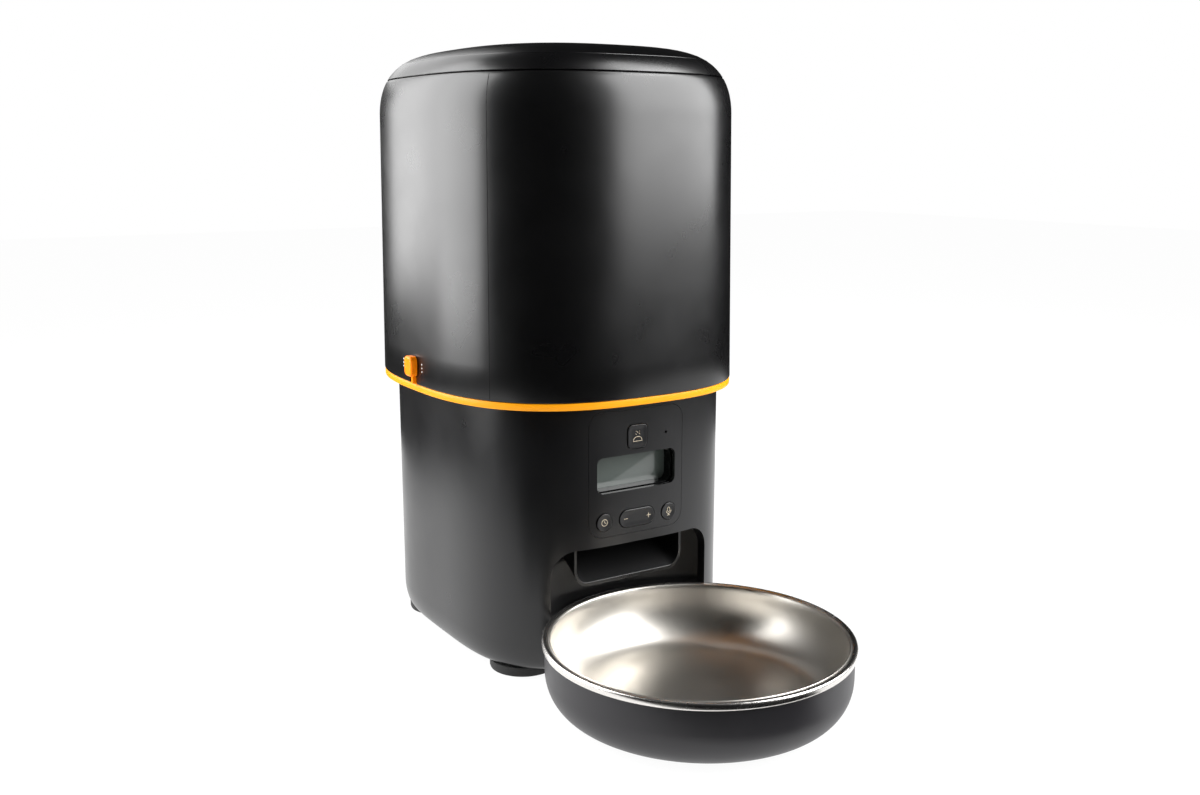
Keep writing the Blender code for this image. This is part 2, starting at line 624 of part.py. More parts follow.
def build_base():
    shell = loft("base_shell", base_rings(0.0, BASE_BOTTOM, BASE_TOP), False, finish="charcoal")
    hollow = loft("base_hollow_cut", inner_rings(BASE_WALL), False)
    cut(hollow, alcove_cutter("alcove_wall_cut", BASE_WALL))
    cut(shell, alcove_cutter("alcove_cut", 0.0), hollow)
    jack_hole = rod("jack_hole_cut", JACK_BORE + 0.0012, -0.01, 0.01)
    jack_hole.location = (JACK_X, BASE_HALF_DEPTH, JACK_Z)
    jack_hole.rotation_euler = (math.pi / 2, 0, 0)
    cut(shell, panel_prism("panel_opening_cut", FIT_GAP),
        chute_solid("chute_opening_cut", FIT_GAP, FIT_GAP), jack_hole)

    boss_bottom = BASE_BOTTOM + COVER_THICKNESS + FIT_GAP
    boss_top = boss_bottom + BOSS_HEIGHT
    rib_length = side_reach(SCREW_Y) + BASE_WALL / 2 - SCREW_X
    corners = [(sx, sy) for sx in (-1, 1) for sy in (-1, 1)]
    for index, (sx, sy) in enumerate(corners):
        place = (sx * SCREW_X, sy * SCREW_Y, 0)
        boss = rod(f"boss_{index + 1}_add", BOSS_RADIUS, boss_bottom, boss_top, place=place)
        boss.rotation_euler.z = math.pi / SMALL_STEPS
        rib = block(f"boss_rib_{index + 1}_add",
                    (rib_length, RIB_WALL, BOSS_HEIGHT - RIB_LIFT - 0.001),
                    (sx * (SCREW_X + rib_length / 2), sy * SCREW_Y,
                     (boss_bottom + boss_top + RIB_LIFT - 0.001) / 2))
        pilot = rod(f"boss_pilot_{index + 1}_cut", SCREW_SHANK_RADIUS + FIT_GAP,
                    boss_bottom - 0.01, boss_top - 0.003, place=place)
        join(boss, rib)
        cut(boss, pilot)
        join(shell, boss)

    ledge = BASE_WALL * LEDGE_SHARE
    ring = [hopper_ring(HOPPER_BOTTOM, RING_INSET) for _ in range(2)]
    inside = [outline(BASE_HALF - ledge, BASE_HALF_DEPTH - ledge, BASE_POWER, 0) for _ in range(2)]
    for loop, height in zip(ring + inside, (RING_BOTTOM, RING_TOP, RING_TOP, RING_BOTTOM)):
        for point in loop:
            point.z = height
    trim = loft("trim_ring", ring + inside, True, finish="amber")

    draw = ledge + FIT_GAP
    deck_rings = [outline(BASE_HALF - draw, BASE_HALF_DEPTH - draw, BASE_POWER, height)
                  for height in (RING_BOTTOM, DECK_TOP)]
    deck = loft("base_deck", deck_rings, False, finish="charcoal")
    port = span_block("deck_port_cut",
                      (-PORT_WIDTH / 2 - 0.001, ROTOR_Y - PORT_OUTER - 0.001, RING_BOTTOM - 0.01),
                      (PORT_WIDTH / 2 + 0.001, ROTOR_Y - PORT_INNER + 0.001, DECK_TOP + 0.01),
                      corner=0.007, along="Z")
    bush_hole = rod("deck_bushing_cut", SHAFT_RADIUS + SLIDE_GAP + BUSHING_WALL, -0.02, 0.02,
                    place=(0, ROTOR_Y, RING_BOTTOM))
    cut(deck, port, bush_hole)

    cover_draw = BASE_ROUND_INSET + BASE_WALL + FIT_GAP
    cover_rings = [outline(BASE_HALF - cover_draw, BASE_HALF_DEPTH - cover_draw, BASE_POWER, height)
                   for height in (BASE_BOTTOM, BASE_BOTTOM + COVER_THICKNESS)]
    cover = loft("bottom_cover", cover_rings, False, finish="charcoal")
    door_cut = span_block("door_opening_cut",
                          (-DOOR_HALF_WIDTH, CELL_MIDDLE_Y - DOOR_HALF_DEPTH, BASE_BOTTOM - 0.01),
                          (DOOR_HALF_WIDTH, CELL_MIDDLE_Y + DOOR_HALF_DEPTH, BASE_BOTTOM + 0.01))
    cut(cover, alcove_cutter("alcove_cover_cut", BASE_WALL + FIT_GAP), door_cut)
    head = SCREW_HEAD_RADIUS + FIT_GAP
    shank = SCREW_SHANK_RADIUS + FIT_GAP
    seat = BASE_BOTTOM + SCREW_HEAD_HEIGHT - 0.0004
    for index, (sx, sy) in enumerate(corners):
        hole = turned(f"cover_screw_{index + 1}_cut", [
            (0.0, BASE_BOTTOM + 0.01), (shank, BASE_BOTTOM + 0.01), (shank, seat), (head, seat),
            (head, BASE_BOTTOM - 0.01), (0.0, BASE_BOTTOM - 0.01)], SMALL_STEPS,
            place=(sx * SCREW_X, sy * SCREW_Y, 0))
        cut(cover, hole)
    for step in range(SPEAKER_HOLES):
        turn = math.tau * step / SPEAKER_HOLES
        cut(cover, rod(f"speaker_hole_{step + 1}_cut", SPEAKER_HOLE_RADIUS, -0.01, 0.01, 8,
                       place=(SPEAKER_X + SPEAKER_RADIUS / 2 * math.cos(turn),
                              SPEAKER_Y + SPEAKER_RADIUS / 2 * math.sin(turn), BASE_BOTTOM)))

    names = {(-1, -1): "front_left", (1, -1): "front_right", (-1, 1): "rear_left",
             (1, 1): "rear_right"}
    for (sx, sy), side in names.items():
        turned(f"foot_{side}", [
            (0.0, FOOT_HEIGHT), (FOOT_RADIUS, FOOT_HEIGHT), (FOOT_RADIUS, 0.0012),
            (FOOT_RADIUS - 0.0012, 0.0), (0.0, 0.0)], 24, place=(sx * FOOT_X, sy * FOOT_Y, 0),
            finish="rubber")
        top = seat - FIT_GAP
        turned(f"screw_{side}", [
            (0.0, top + SCREW_LENGTH), (SCREW_SHANK_RADIUS, top + SCREW_LENGTH - 0.001),
            (SCREW_SHANK_RADIUS, top), (SCREW_HEAD_RADIUS, top),
            (SCREW_HEAD_RADIUS, BASE_BOTTOM + FIT_GAP), (0.0, BASE_BOTTOM + FIT_GAP)], SMALL_STEPS,
            place=(sx * SCREW_X, sy * SCREW_Y, 0), finish="zinc")
    return trim


# ---------------------------------------------------------------- latches
def build_latches(shell, floor, trim):
    """A sliding lock on each side; its arm goes in through a slot and its tongue into the ring."""
    knob_bottom = RING_TOP + LATCH_LIFT
    knob_middle = knob_bottom + LATCH_HEIGHT / 2
    arm_bottom = HOPPER_BOTTOM + FIT_GAP
    arm_top = arm_bottom + LATCH_ARM_HEIGHT
    stem_y = LATCH_Y + LATCH_STEM_SHIFT
    stem_low = stem_y - LATCH_STEM / 2
    stem_high = stem_y + LATCH_STEM / 2
    slot_low = stem_low - SLIDE_GAP
    slot_high = stem_high + LATCH_TRAVEL + SLIDE_GAP
    face = HOPPER_HALF + FIT_GAP
    for side, name in ((-1, "left"), (1, "right")):
        knob = block(f"latch_{name}", (LATCH_PROUD, LATCH_WIDTH, LATCH_HEIGHT),
                     (side * (face + LATCH_PROUD / 2), LATCH_Y, knob_middle), finish="orange",
                     corner=0.003, along="X")
        reach_out = face + LATCH_PROUD * 0.45
        reach_in = HOPPER_HALF - LATCH_REACH
        tongue_out = HOPPER_HALF - HOPPER_WALL - 0.0012

        def piece(label, low_x, high_x, low_z, high_z):
            first, second = sorted((side * low_x, side * high_x))
            return span_block(f"latch_{name}_{label}_add", (first, stem_low, low_z),
                              (second, stem_high, high_z))

        stem = piece("stem", face + 0.0002, reach_out, arm_bottom, knob_bottom + 0.002)
        arm = piece("arm", reach_in, reach_out - 0.0003, arm_bottom + 0.0001, arm_top)
        tongue = piece("tongue", reach_in + 0.0001, tongue_out,
                       RING_TOP - LATCH_TONGUE, arm_bottom + 0.001)
        join(knob, stem, arm, tongue)

        def slot(label, near, far, low_z, high_z):
            first, second = sorted((side * near, side * far))
            return span_block(f"{label}_{name}_cut", (first, slot_low, low_z),
                              (second, slot_high, high_z))

        cut(shell, slot("latch_slot", HOPPER_HALF - 0.006, HOPPER_HALF + 0.006,
                        HOPPER_BOTTOM - 0.01, arm_top + SLIDE_GAP))
        cut(floor, slot("latch_notch", reach_in - 0.001, HOPPER_HALF + 0.006,
                        FLOOR_BOTTOM - 0.01, FLOOR_TOP + 0.01))
        cut(trim, slot("latch_pocket", reach_in - SLIDE_GAP, tongue_out + SLIDE_GAP,
                       RING_TOP - LATCH_TONGUE - SLIDE_GAP, RING_TOP + 0.01))


# ---------------------------------------------------------------- feeding works
def gear_outline(teeth, turn_shift, height):
    """Trapezoid teeth, two points on each tip and two in each gap."""
    pitch = GEAR_MODULE * teeth / 2
    tip = pitch + GEAR_MODULE * TIP_SHARE
    root = pitch - GEAR_MODULE * ROOT_SHARE
    step = math.tau / teeth
    points = []
    for tooth in range(teeth):
        for radius, share in ((root, -0.26), (tip, -0.09), (tip, 0.09), (root, 0.26)):
            turn = step * (tooth + share + turn_shift)
            points.append(Vector((radius * math.cos(turn), radius * math.sin(turn), height)))
    return points


def gear_body(name, teeth, turn_shift, bore, place, finish):
    low, high = 0.0, GEAR_WIDTH
    outer = [gear_outline(teeth, turn_shift, height) for height in (low, high)]
    inner = []
    for height in (high, low):
        loop = gear_outline(teeth, turn_shift, height)
        inner.append([Vector((p.x, p.y, 0)).normalized() * bore + Vector((0, 0, height))
                      for p in loop])
    return loft(name, outer + inner, True, place, finish)


def build_drive():
    axis = (0, ROTOR_Y, 0)
    rotor = rod("rotor", ROTOR_HUB_RADIUS, ROTOR_BOTTOM, ROTOR_TOP, ROUND_STEPS, axis, "acetal")
    for index in range(ROTOR_VANES // 2):
        bar = block(f"rotor_vane_{index + 1}_add",
                    (2 * ROTOR_RADIUS, VANE_THICKNESS, ROTOR_HEIGHT - 0.0006),
                    (0, ROTOR_Y, (ROTOR_BOTTOM + ROTOR_TOP) / 2))
        bar.rotation_euler.z = math.tau * index / ROTOR_VANES
        join(rotor, bar)
    socket = rod("rotor_socket_cut", HEX_RADIUS + SLIDE_GAP, ROTOR_BOTTOM - 0.01,
                 ROTOR_BOTTOM + HEX_DEPTH + FIT_GAP, 6, axis)
    cut(rotor, socket)

    wire_z = ROTOR_TOP + FIT_GAP + STIRRER_WIRE
    curve = bpy.data.curves.new("stirrer", "CURVE")
    curve.dimensions = "3D"
    curve.bevel_depth = STIRRER_WIRE
    curve.bevel_resolution = 2
    curve.use_fill_caps = True
    spline = curve.splines.new("POLY")
    bend = [(-STIRRER_REACH, STIRRER_RISE), (-STIRRER_REACH, STIRRER_RISE * 0.8), (-0.011, 0.0015),
            (-0.008, 0.0), (0.008, 0.0), (0.011, 0.0015), (STIRRER_REACH, STIRRER_RISE * 0.8),
            (STIRRER_REACH, STIRRER_RISE)]
    spline.points.add(len(bend) - 1)
    for point, (x, z) in zip(spline.points, bend):
        point.co = (x, 0.0, wire_z + z, 1.0)
    add_object("stirrer", curve, axis, "steel")

    shaft_bottom = GEARBOX_BOTTOM + GEARBOX_WALL + FIT_GAP
    head_bottom = DECK_TOP + ROTOR_LIFT
    head_top = ROTOR_BOTTOM + HEX_DEPTH
    shaft = rod("drive_shaft", SHAFT_RADIUS, shaft_bottom, head_bottom + 0.001, SMALL_STEPS, axis,
                "zinc")
    join(shaft, rod("drive_head_add", HEX_RADIUS, head_bottom, head_top, 6, axis))
    tube("drive_bushing", SHAFT_RADIUS + SLIDE_GAP, SHAFT_RADIUS + SLIDE_GAP + BUSHING_WALL - FIT_GAP,
         RING_BOTTOM, DECK_TOP, SMALL_STEPS, axis, "acetal")
    gear_body("output_gear", GEAR_TEETH, GEAR_TURN, SHAFT_RADIUS + FIT_GAP, (0, ROTOR_Y, GEAR_Z),
              "acetal")
    pinion_place = (0, PINION_Y, GEAR_Z)
    gear_body("motor_pinion", PINION_TEETH, PINION_TURN, PINION_SHAFT_RADIUS + FIT_GAP, pinion_place,
              "zinc")
    motor_top = GEARBOX_BOTTOM - FIT_GAP
    rod("motor_shaft", PINION_SHAFT_RADIUS, motor_top - SHAFT_ENTRY, GEAR_Z + GEAR_WIDTH, SMALL_STEPS,
        (0, PINION_Y, 0), "zinc")
    bore = PINION_SHAFT_RADIUS + FIT_GAP
    motor_bottom = motor_top - MOTOR_LENGTH
    turned("drive_motor", [
        (0.0, motor_top - SHAFT_ENTRY - 0.001), (bore, motor_top - SHAFT_ENTRY - 0.001), (bore, motor_top),
        (MOTOR_RADIUS, motor_top), (MOTOR_RADIUS, motor_bottom + 0.001),
        (MOTOR_RADIUS - 0.001, motor_bottom), (0.0, motor_bottom)], 28,
        place=(0, PINION_Y, 0), finish="zinc")

    case_front = CHUTE_BACK_Y + FIT_GAP
    gear_reach = GEAR_MODULE * (GEAR_TEETH / 2 + 1)
    case_half = gear_reach + GEARBOX_MARGIN
    case_back = PINION_Y + GEAR_MODULE * PINION_TEETH / 2 + GEARBOX_MARGIN + GEARBOX_WALL
    case_top = GEARBOX_BOTTOM + GEARBOX_HEIGHT
    case = span_block("gearbox_case", (-case_half, case_front, GEARBOX_BOTTOM),
                      (case_half, case_back, case_top), "charcoal", 0.004, "Z")
    wall = GEARBOX_WALL
    hollow = span_block("gearbox_hollow_cut", (-case_half + wall, case_front + wall,
                                               GEARBOX_BOTTOM + wall),
                        (case_half - wall, case_back - wall, case_top + 0.01), None, 0.0025, "Z")
    shaft_hole = rod("gearbox_shaft_cut", PINION_SHAFT_RADIUS + 0.001, GEARBOX_BOTTOM - 0.01,
                     GEARBOX_BOTTOM + 0.01, SMALL_STEPS, (0, PINION_Y, 0))
    cut(case, hollow, shaft_hole)


def build_chute():
    chute = chute_solid("food_chute", 0.0, 0.0, "charcoal")
    cut(chute, chute_solid("chute_inner_cut", -CHUTE_WALL, 0.01))


# ---------------------------------------------------------------- control panel
def front_rod(name, radius, front, back, x, z, steps=SMALL_STEPS, finish=None):
    """A round piece that lies along Y, from its front to its back."""
    item = rod(name, radius, 0.0, back - front, steps, finish=finish)
    item.location = (x, back, z)
    item.rotation_euler = (math.pi / 2, 0, 0)
    return item


def build_panel():
    panel = loft("control_panel", base_rings(0.0, BASE_BOTTOM, BASE_TOP), False, finish="charcoal")
    boolean(panel, panel_prism("panel_outline_cut", 0.0), "INTERSECT")
    cut(panel, loft("panel_back_cut", inner_rings(BASE_WALL), False))
    lcd_z = BASE_TOP - LCD_DROP
    feed_z = BASE_TOP - FEED_DROP
    lower_z = BASE_TOP - LOWER_BUTTON_DROP
    mic_z = BASE_TOP - MIC_DROP
    through = (-BASE_HALF_DEPTH - 0.01, -BASE_HALF_DEPTH + 0.02)

    def panel_hole(name, width, height, corner, x, z):
        return span_block(name, (x - width / 2, through[0], z - height / 2),
                          (x + width / 2, through[1], z + height / 2), None, corner, "Y")

    gap = 2 * SLIDE_GAP
    holes = [
        panel_hole("lcd_hole_cut", LCD_WIDTH, LCD_HEIGHT, LCD_CORNER, 0, lcd_z),
        panel_hole("feed_hole_cut", FEED_WIDTH + gap, FEED_HEIGHT + gap, FEED_CORNER, 0, feed_z),
        panel_hole("rocker_hole_cut", ROCKER_WIDTH + gap, ROCKER_HEIGHT + gap,
                   ROCKER_HEIGHT / 2, 0, lower_z),
        front_rod("mic_hole_cut", MIC_HOLE_RADIUS, *through, MIC_X, mic_z, 12),
    ]
    for name, x in (("set_hole_cut", -SMALL_BUTTON_X), ("record_hole_cut", SMALL_BUTTON_X)):
        holes.append(front_rod(name, SMALL_BUTTON_RADIUS + SLIDE_GAP, *through, x, lower_z))
    cut(panel, *holes)

    flange_front = PANEL_BACK_Y
    front = -BASE_HALF_DEPTH - BUTTON_PROUD
    switch_front = BOARD_Y - FIT_GAP - SWITCH_HEIGHT
    button_back = switch_front - BUTTON_TRAVEL - 0.0004

    feed = span_block("feed_button", (-FEED_WIDTH / 2, front, feed_z - FEED_HEIGHT / 2),
                      (FEED_WIDTH / 2, button_back, feed_z + FEED_HEIGHT / 2), "charcoal",
                      FEED_CORNER, "Y")
    half = FEED_WIDTH / 2 + BUTTON_FLANGE
    feed_flange = span_block("feed_flange_add", (-half, flange_front, feed_z - half),
                             (half, flange_front + 0.001, feed_z + half))
    join(feed, feed_flange)

    rocker = span_block("adjust_rocker", (-ROCKER_WIDTH / 2, front, lower_z - ROCKER_HEIGHT / 2),
                        (ROCKER_WIDTH / 2, button_back - 0.0006, lower_z + ROCKER_HEIGHT / 2),
                        "charcoal", ROCKER_HEIGHT / 2 - 0.0001, "Y")
    wide = ROCKER_WIDTH / 2 + BUTTON_FLANGE / 2
    tall = ROCKER_HEIGHT / 2 + BUTTON_FLANGE
    join(rocker, span_block("rocker_flange_add", (-wide, flange_front + 0.0006, lower_z - tall),
                            (wide, flange_front + 0.0016, lower_z + tall)))
    pivot_y = PANEL_BACK_Y + ROCKER_PIVOT_DEPTH
    rocker.data.transform(Matrix.Translation((0, rocker.location.y - pivot_y, 0)))
    rocker.location.y = pivot_y

    for name, x in (("set_button", -SMALL_BUTTON_X), ("record_button", SMALL_BUTTON_X)):
        button = front_rod(name, SMALL_BUTTON_RADIUS, front + 0.0001, button_back, x, lower_z,
                           finish="charcoal")
        join(button, front_rod(f"{name}_flange_add", SMALL_BUTTON_RADIUS + BUTTON_FLANGE,
                               flange_front, flange_front + 0.001, x, lower_z))

    bezel_back = PANEL_BACK_Y + LCD_RECESS
    wall = LCD_BEZEL_WALL
    bezel = span_block("lcd_bezel",
                       (-LCD_WIDTH / 2 - wall, PANEL_BACK_Y, lcd_z - LCD_HEIGHT / 2 - wall),
                       (LCD_WIDTH / 2 + wall, bezel_back, lcd_z + LCD_HEIGHT / 2 + wall),
                       "satin_black", LCD_CORNER + wall, "Y")
    cut(bezel, panel_hole("bezel_hole_cut", LCD_WIDTH - 0.001, LCD_HEIGHT - 0.001, LCD_CORNER, 0,
                          lcd_z))
    glass_front = bezel_back + FIT_GAP
    span_block("lcd_window", (-LCD_WIDTH / 2 - wall, glass_front, lcd_z - LCD_HEIGHT / 2 - wall),
               (LCD_WIDTH / 2 + wall, glass_front + LCD_GLASS, lcd_z + LCD_HEIGHT / 2 + wall),
               "glass_grey")
    module_front = glass_front + LCD_GLASS + FIT_GAP
    span_block("lcd_module",
               (-LCD_WIDTH / 2 - 0.002, module_front, lcd_z - LCD_HEIGHT / 2 - 0.002),
               (LCD_WIDTH / 2 + 0.002, BOARD_Y - FIT_GAP, lcd_z + LCD_HEIGHT / 2 + 0.002),
               "display")
    span_block("control_board",
               (-PANEL_WIDTH / 2, BOARD_Y, BASE_TOP - PANEL_BOTTOM_DROP + 0.002),
               (PANEL_WIDTH / 2, BOARD_Y + BOARD_THICKNESS, BASE_TOP - PANEL_TOP_DROP - 0.002),
               "board_green")

    places = {"switch_feed": (0, feed_z), "switch_set": (-SMALL_BUTTON_X, lower_z),
              "switch_minus": (-ROCKER_SWITCH_X, lower_z), "switch_plus": (ROCKER_SWITCH_X, lower_z),
              "switch_record": (SMALL_BUTTON_X, lower_z)}
    for name, (x, z) in places.items():
        body_front = switch_front + 0.0006
        switch = span_block(name, (x - SWITCH_SIZE / 2, body_front, z - SWITCH_SIZE / 2),
                            (x + SWITCH_SIZE / 2, BOARD_Y - FIT_GAP, z + SWITCH_SIZE / 2), "zinc")
        join(switch, front_rod(f"{name}_plunger_add", 0.0017, switch_front, body_front + 0.0005,
                               x, z, 12))
    mic_front = -inner_reach(MIC_X + MIC_RADIUS) + FIT_GAP
    front_rod("microphone", MIC_RADIUS, mic_front, mic_front + MIC_DEPTH, MIC_X, mic_z,
              finish="zinc")


# ---------------------------------------------------------------- battery compartment and jack
def build_power():
    low_z = BASE_BOTTOM + COVER_THICKNESS + FIT_GAP
    tray = span_block("battery_tray",
                      (-TRAY_HALF_WIDTH, CELL_MIDDLE_Y - TRAY_HALF_DEPTH, low_z),
                      (TRAY_HALF_WIDTH, CELL_MIDDLE_Y + TRAY_HALF_DEPTH, TRAY_TOP), "charcoal")
    inner = TRAY_HALF_WIDTH - TRAY_WALL
    deep = TRAY_HALF_DEPTH - TRAY_WALL
    cut(tray, span_block("tray_hollow_cut", (-inner, CELL_MIDDLE_Y - deep, low_z - 0.01),
                         (inner, CELL_MIDDLE_Y + deep, TRAY_TOP - TRAY_WALL)))
    for index in range(CELL_COUNT):
        side = 1 if index % 2 == 0 else -1
        start = -CELL_LENGTH / 2 - CELL_CAP / 2
        cell = turned(f"battery_cell_{index + 1}", [
            (0.0, start + CELL_LENGTH + CELL_CAP), (CELL_CAP_RADIUS, start + CELL_LENGTH + CELL_CAP),
            (CELL_CAP_RADIUS, start + CELL_LENGTH), (CELL_RADIUS, start + CELL_LENGTH),
            (CELL_RADIUS, start), (0.0, start)], 24, finish="cell_wrap")
        offset = index - (CELL_COUNT - 1) / 2
        cell.location = (0, CELL_MIDDLE_Y + offset * CELL_PITCH, CELL_Z)
        cell.rotation_euler = (0, side * math.pi / 2, 0)
    depth = deep - FIT_GAP
    reach = CELL_END - CELL_CAP / 2 + FIT_GAP
    for side, name in ((-1, "left"), (1, "right")):
        first, second = sorted((side * (inner - FIT_GAP),
                                side * (inner - FIT_GAP - CONTACT_THICKNESS)))
        strip = span_block(f"contact_{name}",
                           (first, CELL_MIDDLE_Y - depth, CELL_Z - CONTACT_HEIGHT / 2),
                           (second, CELL_MIDDLE_Y + depth, CELL_Z + CONTACT_HEIGHT / 2), "zinc")
        for index in range(CELL_COUNT):
            offset = index - (CELL_COUNT - 1) / 2
            length = inner - FIT_GAP - CONTACT_THICKNESS / 2 - reach
            dome = turned(f"contact_{name}_{index + 1}_add", [
                (0.0, length), (0.003, length), (0.0055, 0.0), (0.0, 0.0)], 12)
            dome.location = (side * (inner - FIT_GAP - CONTACT_THICKNESS / 2),
                             CELL_MIDDLE_Y + offset * CELL_PITCH, CELL_Z)
            dome.rotation_euler = (0, -side * math.pi / 2, 0)
            join(strip, dome)

    door_top = BASE_BOTTOM - FIT_GAP
    door_half = DOOR_HALF_WIDTH + DOOR_OVERLAP
    span_block("battery_door",
               (-door_half, CELL_MIDDLE_Y - DOOR_HALF_DEPTH - DOOR_OVERLAP,
                door_top - DOOR_THICKNESS),
               (door_half, CELL_MIDDLE_Y + DOOR_HALF_DEPTH + DOOR_OVERLAP, door_top), "charcoal",
               0.003, "Z")

    back = inner_reach(JACK_X + JACK_WIDTH / 2) - FIT_GAP
    jack = span_block("power_jack", (JACK_X - JACK_WIDTH / 2, back - JACK_DEPTH,
                                     JACK_Z - JACK_HEIGHT / 2),
                      (JACK_X + JACK_WIDTH / 2, back, JACK_Z + JACK_HEIGHT / 2), "satin_black")
    bore = tube("jack_bore_cut", JACK_PIN, JACK_BORE, 0.0, JACK_BORE_DEPTH + 0.001)
    bore.location = (JACK_X, back - JACK_BORE_DEPTH, JACK_Z)
    bore.rotation_euler = (-math.pi / 2, 0, 0)
    cut(jack, bore)

    speaker_bottom = BASE_BOTTOM + COVER_THICKNESS + FIT_GAP
    turned("speaker", [
        (0.0, speaker_bottom + SPEAKER_HEIGHT), (SPEAKER_RADIUS * 0.6, speaker_bottom + SPEAKER_HEIGHT),
        (SPEAKER_RADIUS * 0.6, speaker_bottom + 0.004), (SPEAKER_RADIUS, speaker_bottom + 0.002),
        (SPEAKER_RADIUS, speaker_bottom), (0.0, speaker_bottom)], 24,
        place=(SPEAKER_X, SPEAKER_Y, 0), finish="zinc")


# ---------------------------------------------------------------- bowl
def build_bowl():
    place = (0, BOWL_Y, 0)
    steel = BOWL_STEEL
    wall_radius = BOWL_RADIUS - BOWL_FLANGE
    wall_top = BOWL_RIM_Z - steel
    floor = BOWL_FLOOR_Z
    depth = wall_top - floor

    def wall_point(turn, shift):
        """The bowl's side, a quarter of a stretched round from its floor up to its flange."""
        radius = BOWL_FLOOR_RADIUS + (wall_radius - BOWL_FLOOR_RADIUS) * math.sin(turn) ** 0.85
        height = floor + depth * (1 - math.cos(turn)) ** 1.05
        slope = Vector((math.cos(turn), math.sin(turn)))
        return (radius - slope.y * shift, height + slope.x * shift)

    turns = [math.pi / 2 * step / 6 for step in range(7)]
    inner = [(0.0, floor + steel)] + [wall_point(turn, steel) for turn in turns[:-1]]
    rim = [(wall_radius, BOWL_RIM_Z), (BOWL_RADIUS - 0.0006, BOWL_RIM_Z),
           (BOWL_RADIUS, BOWL_RIM_Z - 0.0006), (BOWL_RADIUS, BOWL_RIM_Z - BOWL_LIP),
           (BOWL_RADIUS - steel, BOWL_RIM_Z - BOWL_LIP), (BOWL_RADIUS - steel, wall_top)]
    outer = [wall_point(turn, 0.0) for turn in reversed(turns[:-1])] + [(0.0, floor)]
    flange = [(wall_radius + 0.0006, wall_top)]
    turned("steel_bowl", inner + rim + flange + outer, ROUND_STEPS, False, place, "steel")

    top = wall_top - FIT_GAP
    outer_radius = BOWL_RADIUS - steel - HOLDER_RIM_GAP
    inner_radius = outer_radius - HOLDER_WALL

    def corner(turn, shift):
        radius = HOLDER_FLOOR_RADIUS + (outer_radius - HOLDER_FLOOR_RADIUS) * math.sin(turn) ** 0.8
        height = HOLDER_CORNER * (1 - math.cos(turn))
        return (radius - shift * math.sin(turn), height + shift * math.cos(turn))

    steps = [math.pi / 2 * step / 5 for step in range(6)]
    outer_side = [(outer_radius, top)] + [corner(turn, 0.0) for turn in reversed(steps)]
    inner_side = [corner(turn, HOLDER_WALL) for turn in steps] + [(inner_radius, top)]
    profile = [(0.0, HOLDER_WALL)] + inner_side + outer_side + [(0.0, 0.0)]
    turned("bowl_holder", profile, ROUND_STEPS, False, place, "holder_grey")


def main():
    shell, floor = build_hopper()
    build_lid()
    trim = build_base()
    build_latches(shell, floor, trim)
    build_drive()
    build_chute()
    build_panel()
    build_power()
    build_bowl()


main()
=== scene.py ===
"""Automatic pet feeder: fine shells, finishes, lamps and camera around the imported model.

Units are metres, +Z is up and the feeder's front faces -Y. Every piece is placed in the model's
own frame, and rides on the body whose part it stands for.
"""

import math

import bmesh
import bpy
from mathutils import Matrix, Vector


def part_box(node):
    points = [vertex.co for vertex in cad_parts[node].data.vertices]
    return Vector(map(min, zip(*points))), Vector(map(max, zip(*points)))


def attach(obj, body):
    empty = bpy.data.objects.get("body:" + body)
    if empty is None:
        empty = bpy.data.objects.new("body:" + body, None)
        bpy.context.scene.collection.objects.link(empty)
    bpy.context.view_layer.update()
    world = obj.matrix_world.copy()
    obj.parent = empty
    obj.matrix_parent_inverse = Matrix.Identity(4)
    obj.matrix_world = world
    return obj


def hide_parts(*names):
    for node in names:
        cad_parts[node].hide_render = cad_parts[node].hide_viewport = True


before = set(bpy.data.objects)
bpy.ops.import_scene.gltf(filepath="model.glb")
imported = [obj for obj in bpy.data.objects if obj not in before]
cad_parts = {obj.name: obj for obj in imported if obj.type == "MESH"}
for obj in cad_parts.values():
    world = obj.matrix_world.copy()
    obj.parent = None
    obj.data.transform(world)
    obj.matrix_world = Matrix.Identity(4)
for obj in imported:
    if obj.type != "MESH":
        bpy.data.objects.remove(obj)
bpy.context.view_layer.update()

bl_info = {
    "name": "Automatic pet feeder",
    "version": (1, 0, 0),
    "blender": (4, 5, 0),
    "location": "View3D > Sidebar > Pet feeder",
    "description": "Builds the fine shells, finishes and stage of an automatic pet feeder",
    "category": "Object",
}

MM = 0.001

# ---- places read from the model
HOPPER_LOW, HOPPER_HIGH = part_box("hopper_shell")
LID_LOW, LID_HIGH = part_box("lid")
RING_LOW, RING_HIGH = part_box("trim_ring")
BASE_LOW, BASE_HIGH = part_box("base_shell")
PANEL_LOW, PANEL_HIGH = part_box("control_panel")
BEZEL_LOW, BEZEL_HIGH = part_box("lcd_bezel")
CHUTE_LOW, CHUTE_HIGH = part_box("food_chute")
BOWL_LOW, BOWL_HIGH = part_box("steel_bowl")
HOLDER_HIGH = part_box("bowl_holder")[1]
BAG_LOW, BAG_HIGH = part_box("desiccant_bag")
FEET = ("foot_front_left", "foot_front_right", "foot_rear_left", "foot_rear_right")

BODY_Y = (BASE_LOW.y + BASE_HIGH.y) / 2
HOPPER_HALF = HOPPER_HIGH.x
HOPPER_HALF_DEPTH = (HOPPER_HIGH.y - HOPPER_LOW.y) / 2
BASE_HALF = BASE_HIGH.x
BASE_HALF_DEPTH = (BASE_HIGH.y - BASE_LOW.y) / 2
SEAM_Z = HOPPER_HIGH.z
CROWN_Z = LID_HIGH.z
BOWL_Y = (BOWL_LOW.y + BOWL_HIGH.y) / 2
BOWL_RADIUS = BOWL_HIGH.x
HOLDER_RADIUS = HOLDER_HIGH.x


